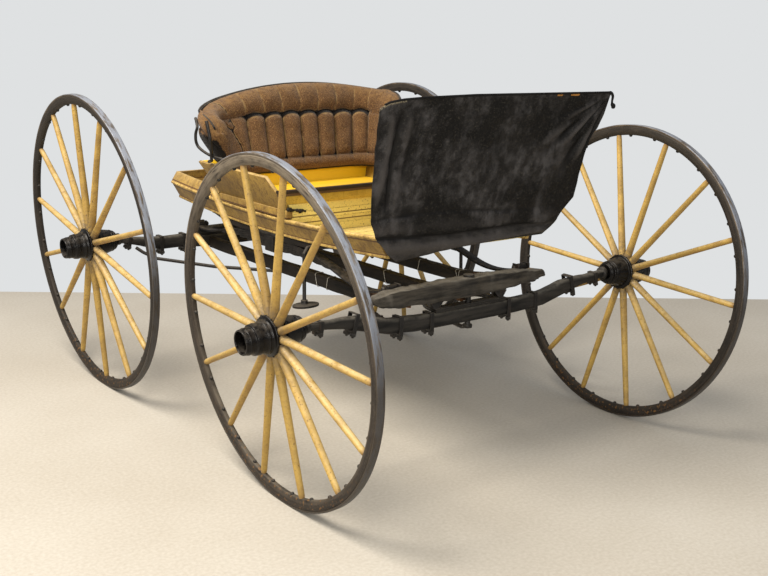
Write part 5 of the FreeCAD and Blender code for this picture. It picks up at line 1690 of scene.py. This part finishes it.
back_welt("seat_back_rim_welt", 4.2, rim_at, -7, 1, -0.82)
back_welt("seat_back_foot_welt", 5.5, lambda share: FOOT + 1, 9, 6, -1)
ARM_IRON = (
    (-440, 345, 1062), (-452, 310, 1034), (-455, 317, 1011), (-455, 319, 986), (-450, 318, 967),
    (-445, 305, 954), (-440, 268, 941), (-430, 234, 931), (-420, 200, 927), (-408, 160, 920))
into_place(rod("seat_arm_iron", smooth_path(ARM_IRON, 6), 5.5, iron_paint), "black_iron")
places = []
for number in SEAMS:
    place = seam_at(number, BUTTONS)
    spot, deeper = back_place(place, BUTTONS, 24), back_place(place, BUTTONS, 14)
    places.append((spot, spot - deeper, 0, 1.0))
copies_at(dome("seat_back_buttons", 5, 3.4), places, old_leather, "seat_shell_leather")
print(len(places), "buttons")

# %% [markdown]
# The dash is harness leather stretched over an iron frame and stitched round it. It is
# black and dull, clouded with dust that lies thick along the foot. The ridges of its folds
# are painted pale as highlight and their hollows dark as painted shade. Where the hem has
# split the flesh side shows, tan at the far end and frayed to pale threads at the near one.
# How far a place stands out, and how its hem is, are stored in the mesh. The grain is
# again drawn 2.4 mm wide, coarser than real, so it shows.

# %% Dash leather's finish
dash_leather, tree, at = new_finish("Harness leather, black, dusty")
height = node(tree, "ShaderNodeSeparateXYZ", {0: at}).outputs[2]
stands, hem = (
    node(tree, "ShaderNodeAttribute", attribute_name=name).outputs["Fac"]
    for name in ("stands", "hem"))
painted_hollow_shade, painted_ridge_highlight, foot, tan_hem, frayed = (
    node(tree, "ShaderNodeMapRange", {"Value": value, "From Min": low, "From Max": high}).outputs[0]
    for value, low, high in (
        (stands, 0.46, 0.12), (stands, 0.56, 0.95), (height, 0.772, 0.762),
        (hem, -0.15, -0.3), (hem, 0.1, 0.6)))
mottle = blotches(tree, at, 150, 0.44, 0.56, (1, 1, 0.8), detail=8.0)
cloudy = blotches(tree, at, 32, 0.42, 0.64, (1, 1, 0.6), detail=9.0, seed=4)
grain = blotches(tree, at, 2.4, 0.35, 0.65, detail=5.0)
colour = layered(
    tree, "060505", ("1d1b1b", mottle), ("4c4a4a", cloudy, mottle, 0.9),
    ("686359", blotches(tree, at, 5, 0.55, 0.75, detail=4.0, seed=8), 0.45),
    # ridges painted pale as highlight, hollows dark as painted shade
    ("4a4644", painted_ridge_highlight, 0.7), ("060505", painted_hollow_shade, 0.9),
    ("47433f", foot, blotches(tree, at, 34, 0.34, 0.62, (0.5, 1, 1), seed=2), 0.6),
    ("b27b38", tan_hem, blotches(tree, at, 9, 0.3, 0.45, seed=5)),
    ("a09478", frayed, blotches(tree, at, 5, 0.42, 0.52), 0.8), ("0a0908", grain, 0.3),
)
rough = node(tree, "ShaderNodeMapRange", {"Value": cloudy, "To Min": 0.48, "To Max": 0.72})
finish(tree, colour, rough.outputs[0], grain, 0.45, Specular_IOR_Level=0.22)
print("finish:", dash_leather.name)

# %% [markdown]
# The dash has gone slack: its leather hangs in folds by the near edge, draws in creases to
# the far top corner, and is doubled over along the foot. The sheet is a grid whose columns
# and rows follow the frame's outline, and a few plain formulas push the folds out of it. A
# cloth simulation would drape it too, but wouldn't put each fold where it is.

# %% How the dash's leather stands
DASH_NEAR = (  # height, distance out to the edge
    (690, 300), (729, 355), (789, 408), (833, 432), (947, 450), (1026, 458), (1103, 468),
    (1171, 476), (1240, 476))
DASH_FAR = (
    (690, 285), (731, 304), (749, 318), (769, 348), (805, 368), (830, 394), (845, 408),
    (900, 413), (1000, 414), (1044, 420), (1078, 438), (1130, 453), (1240, 455))
DASH_FOOT = (  # share of the way out, height; near is negative
    (-1, 699), (-0.64, 707), (-0.23, 721), (0.2, 727), (0.65, 732), (1, 733))
DASH_HEAD = (
    (-1, 1185), (-0.95, 1199), (-0.85, 1206), (-0.69, 1209), (-0.27, 1210), (0.3, 1205), (1, 1199))


def dash_front(height):
    """How far forward the dash stands at a height."""
    up = height - 713
    return -725 - 0.17912 * up - 1.8238e-4 * up * up


def fold(value, middle, wide):
    """A soft bump of height 1 about a middle."""
    return math.exp(-((value - middle) / wide) ** 2)


def dash_relief(x, z):
    """How far the leather stands out of its surface: its folds, and its unevenness."""
    rough = noise.noise(Vector((x / 130, z / 110, 1))) * 7
    rough += noise.noise(Vector((x / 42, z / 36, 5))) * 2
    rough += abs(noise.noise(Vector((x / 60, z / 60, 8)))) * -3.5
    # upright folds by the near edge
    near = 7 * fold(x + 5 * math.sin(z / 60), -424, 13)
    near -= 8 * fold(x + 7 * math.sin(z / 75), -388, 9)
    near += 5 * fold(x, -360, 12)
    near -= 3 * fold(x + 10 * math.sin(z / 50), -330, 7)
    near *= clamp((z - 830) / 90) * clamp((1185 - z) / 40)
    # creases drawn to the far top corner
    corner = Vector((x - 455, z - 1199))
    away, turn = corner.length, math.atan2(-corner.y, -corner.x)
    pulled = math.sin(turn * 17 + math.sin(away / 60)) + 0.5 * math.sin(turn * 31 + away / 80)
    pulled *= 7 * fold(away, 150, 125) * min(1, away / 60) * clamp((turn - 0.25) / 0.3)
    # the doubled foot, a line above it, and two dents
    tall = z + 0.03 * x
    foot = 10 * fold(tall, 733, 18) - 9 * fold(tall - 6 * math.sin(x / 90), 768, 8)
    foot += 3 * fold(tall, 800, 22)
    line = -4.5 * fold(tall - 838 + 8 * math.sin(x / 110), 0, 6) * clamp((300 - x) / 200)
    dents = -5 * fold(math.hypot((x + 300) / 1.2, z - 860), 0, 22)
    dents -= 6 * fold(math.hypot(x - 160, (z - 800) * 1.4), 0, 20)
    return near + pulled + foot + line + dents, rough


print("the dash leans", round(dash_front(713) - dash_front(1200)), "mm forward")

# %% Dash leather
DASH_COLUMNS, DASH_ROWS = 190, 96


def hem_at(x):
    """1 where the hem has frayed, -1 where it has split and shows tan, and 0 elsewhere."""
    if x < -385:
        return 1
    return -1 if 212 < x < 236 or 272 < x < 306 else 0


def dash_sheet():
    """The leather as one closed sheet, front skin and back skin, marked for its finish."""
    rings, stands, hems = [], [], []
    for number in range(DASH_COLUMNS + 1):
        share = -1 + 2 * number / DASH_COLUMNS
        share = math.copysign(abs(share) ** 0.9, share)
        edge = DASH_NEAR if share < 0 else DASH_FAR
        low, high = read_off(DASH_FOOT, share)[0], read_off(DASH_HEAD, share)[0]
        held = 0.35 + 0.65 * min(1, (1 - abs(share)) * 14)  # the frame holds it at the edges
        front, back, stand, hem = [], [], [], []
        for row in range(DASH_ROWS + 1):
            height = low + (high - low) * row / DASH_ROWS
            ragged = 2.2 * noise.noise(Vector((height / 30, share * 2, 4))) * abs(share) ** 8
            x = share * (read_off(edge, height)[0] + ragged)
            z = height + 1.5 * noise.noise(Vector((x / 40, 7, 2))) * (row / DASH_ROWS) ** 12
            folds, rough = dash_relief(x, height)
            out = 4 + (folds + rough) * held * min(1, (DASH_ROWS - row) / 5 + 0.2)
            if row == 0:
                out -= 6
            front.append((x, dash_front(height) - out - 1.2, z))
            back.append((x, dash_front(height) - out + 1.4, z))
            stand.append(0.5 + folds / 16 + rough / 40)
            hem.append(clamp((height - high) / 9 + 1) * hem_at(x))
        rings.append(front + back[::-1])
        stands += stand + stand[::-1]
        hems += hem + hem[::-1]
    made = loft("dash_leather_worn", rings, dash_leather, sharp=75)
    return mark(mark(made, "stands", stands), "hem", hems)


dash = into_place(dash_sheet(), "leather_black", "dash_leather")
print("dash", len(dash.data.polygons), "faces")

# %% [markdown]
# The frame has bent where the leather has sunk: its near top corner has dropped, and its
# far edge is drawn in low down. A welt of the same leather runs along the head, and a
# twisted shred of it hangs from the far corner; both are rods along the dash's outline.

# %% Bent frame, head welt and shred
for vertex in bpy.data.objects["dash_frame_forged"].data.vertices:
    x, z = vertex.co.x * 1000, vertex.co.z * 1000
    vertex.co.z -= 0.026 * clamp((-x - 385) / 65) ** 2 * clamp((z - 1080) / 100)
    vertex.co.x -= 0.040 * fold(z, 800, 34) * clamp((x - 250) / 130)
edge = []
for step in range(60):
    share = -0.97 + 1.97 * step / 59
    head = read_off(DASH_HEAD, share)[0]
    out = share * read_off(DASH_NEAR if share < 0 else DASH_FAR, head)[0]
    edge.append(Vector((out, dash_front(head) - 4, head + 1)))
into_place(rod("dash_top_welt", edge, 3.6, dash_leather), "leather_black")
SHRED = (  # from the end of the welt
    (-6, 0, -1), (3, -1, -4), (7, -2, -14), (6, -1, -27), (6, -2, -38), (13, -3, -45), (6, -2, -50))
hanging = smooth_path([edge[-1] + Vector(step) for step in SHRED], 3)
lumps = [6 - 0.25 * n for n in range(11)] + [4, 6, 7.5, 7, 6, 7, 6, 4]
into_place(rod("dash_corner_shred", hanging, lumps, dash_leather, 7), "leather_black")
print("head welt of", len(edge), "points, shred of", len(hanging))

# %% [markdown]
# Every node of the engineering model now has a dressed piece that stands for it. The last
# cell counts the model's nodes that still show.

# %% Model nodes still showing
print("model nodes still showing:", sum(not piece.hide_render for piece in nodes.values()))
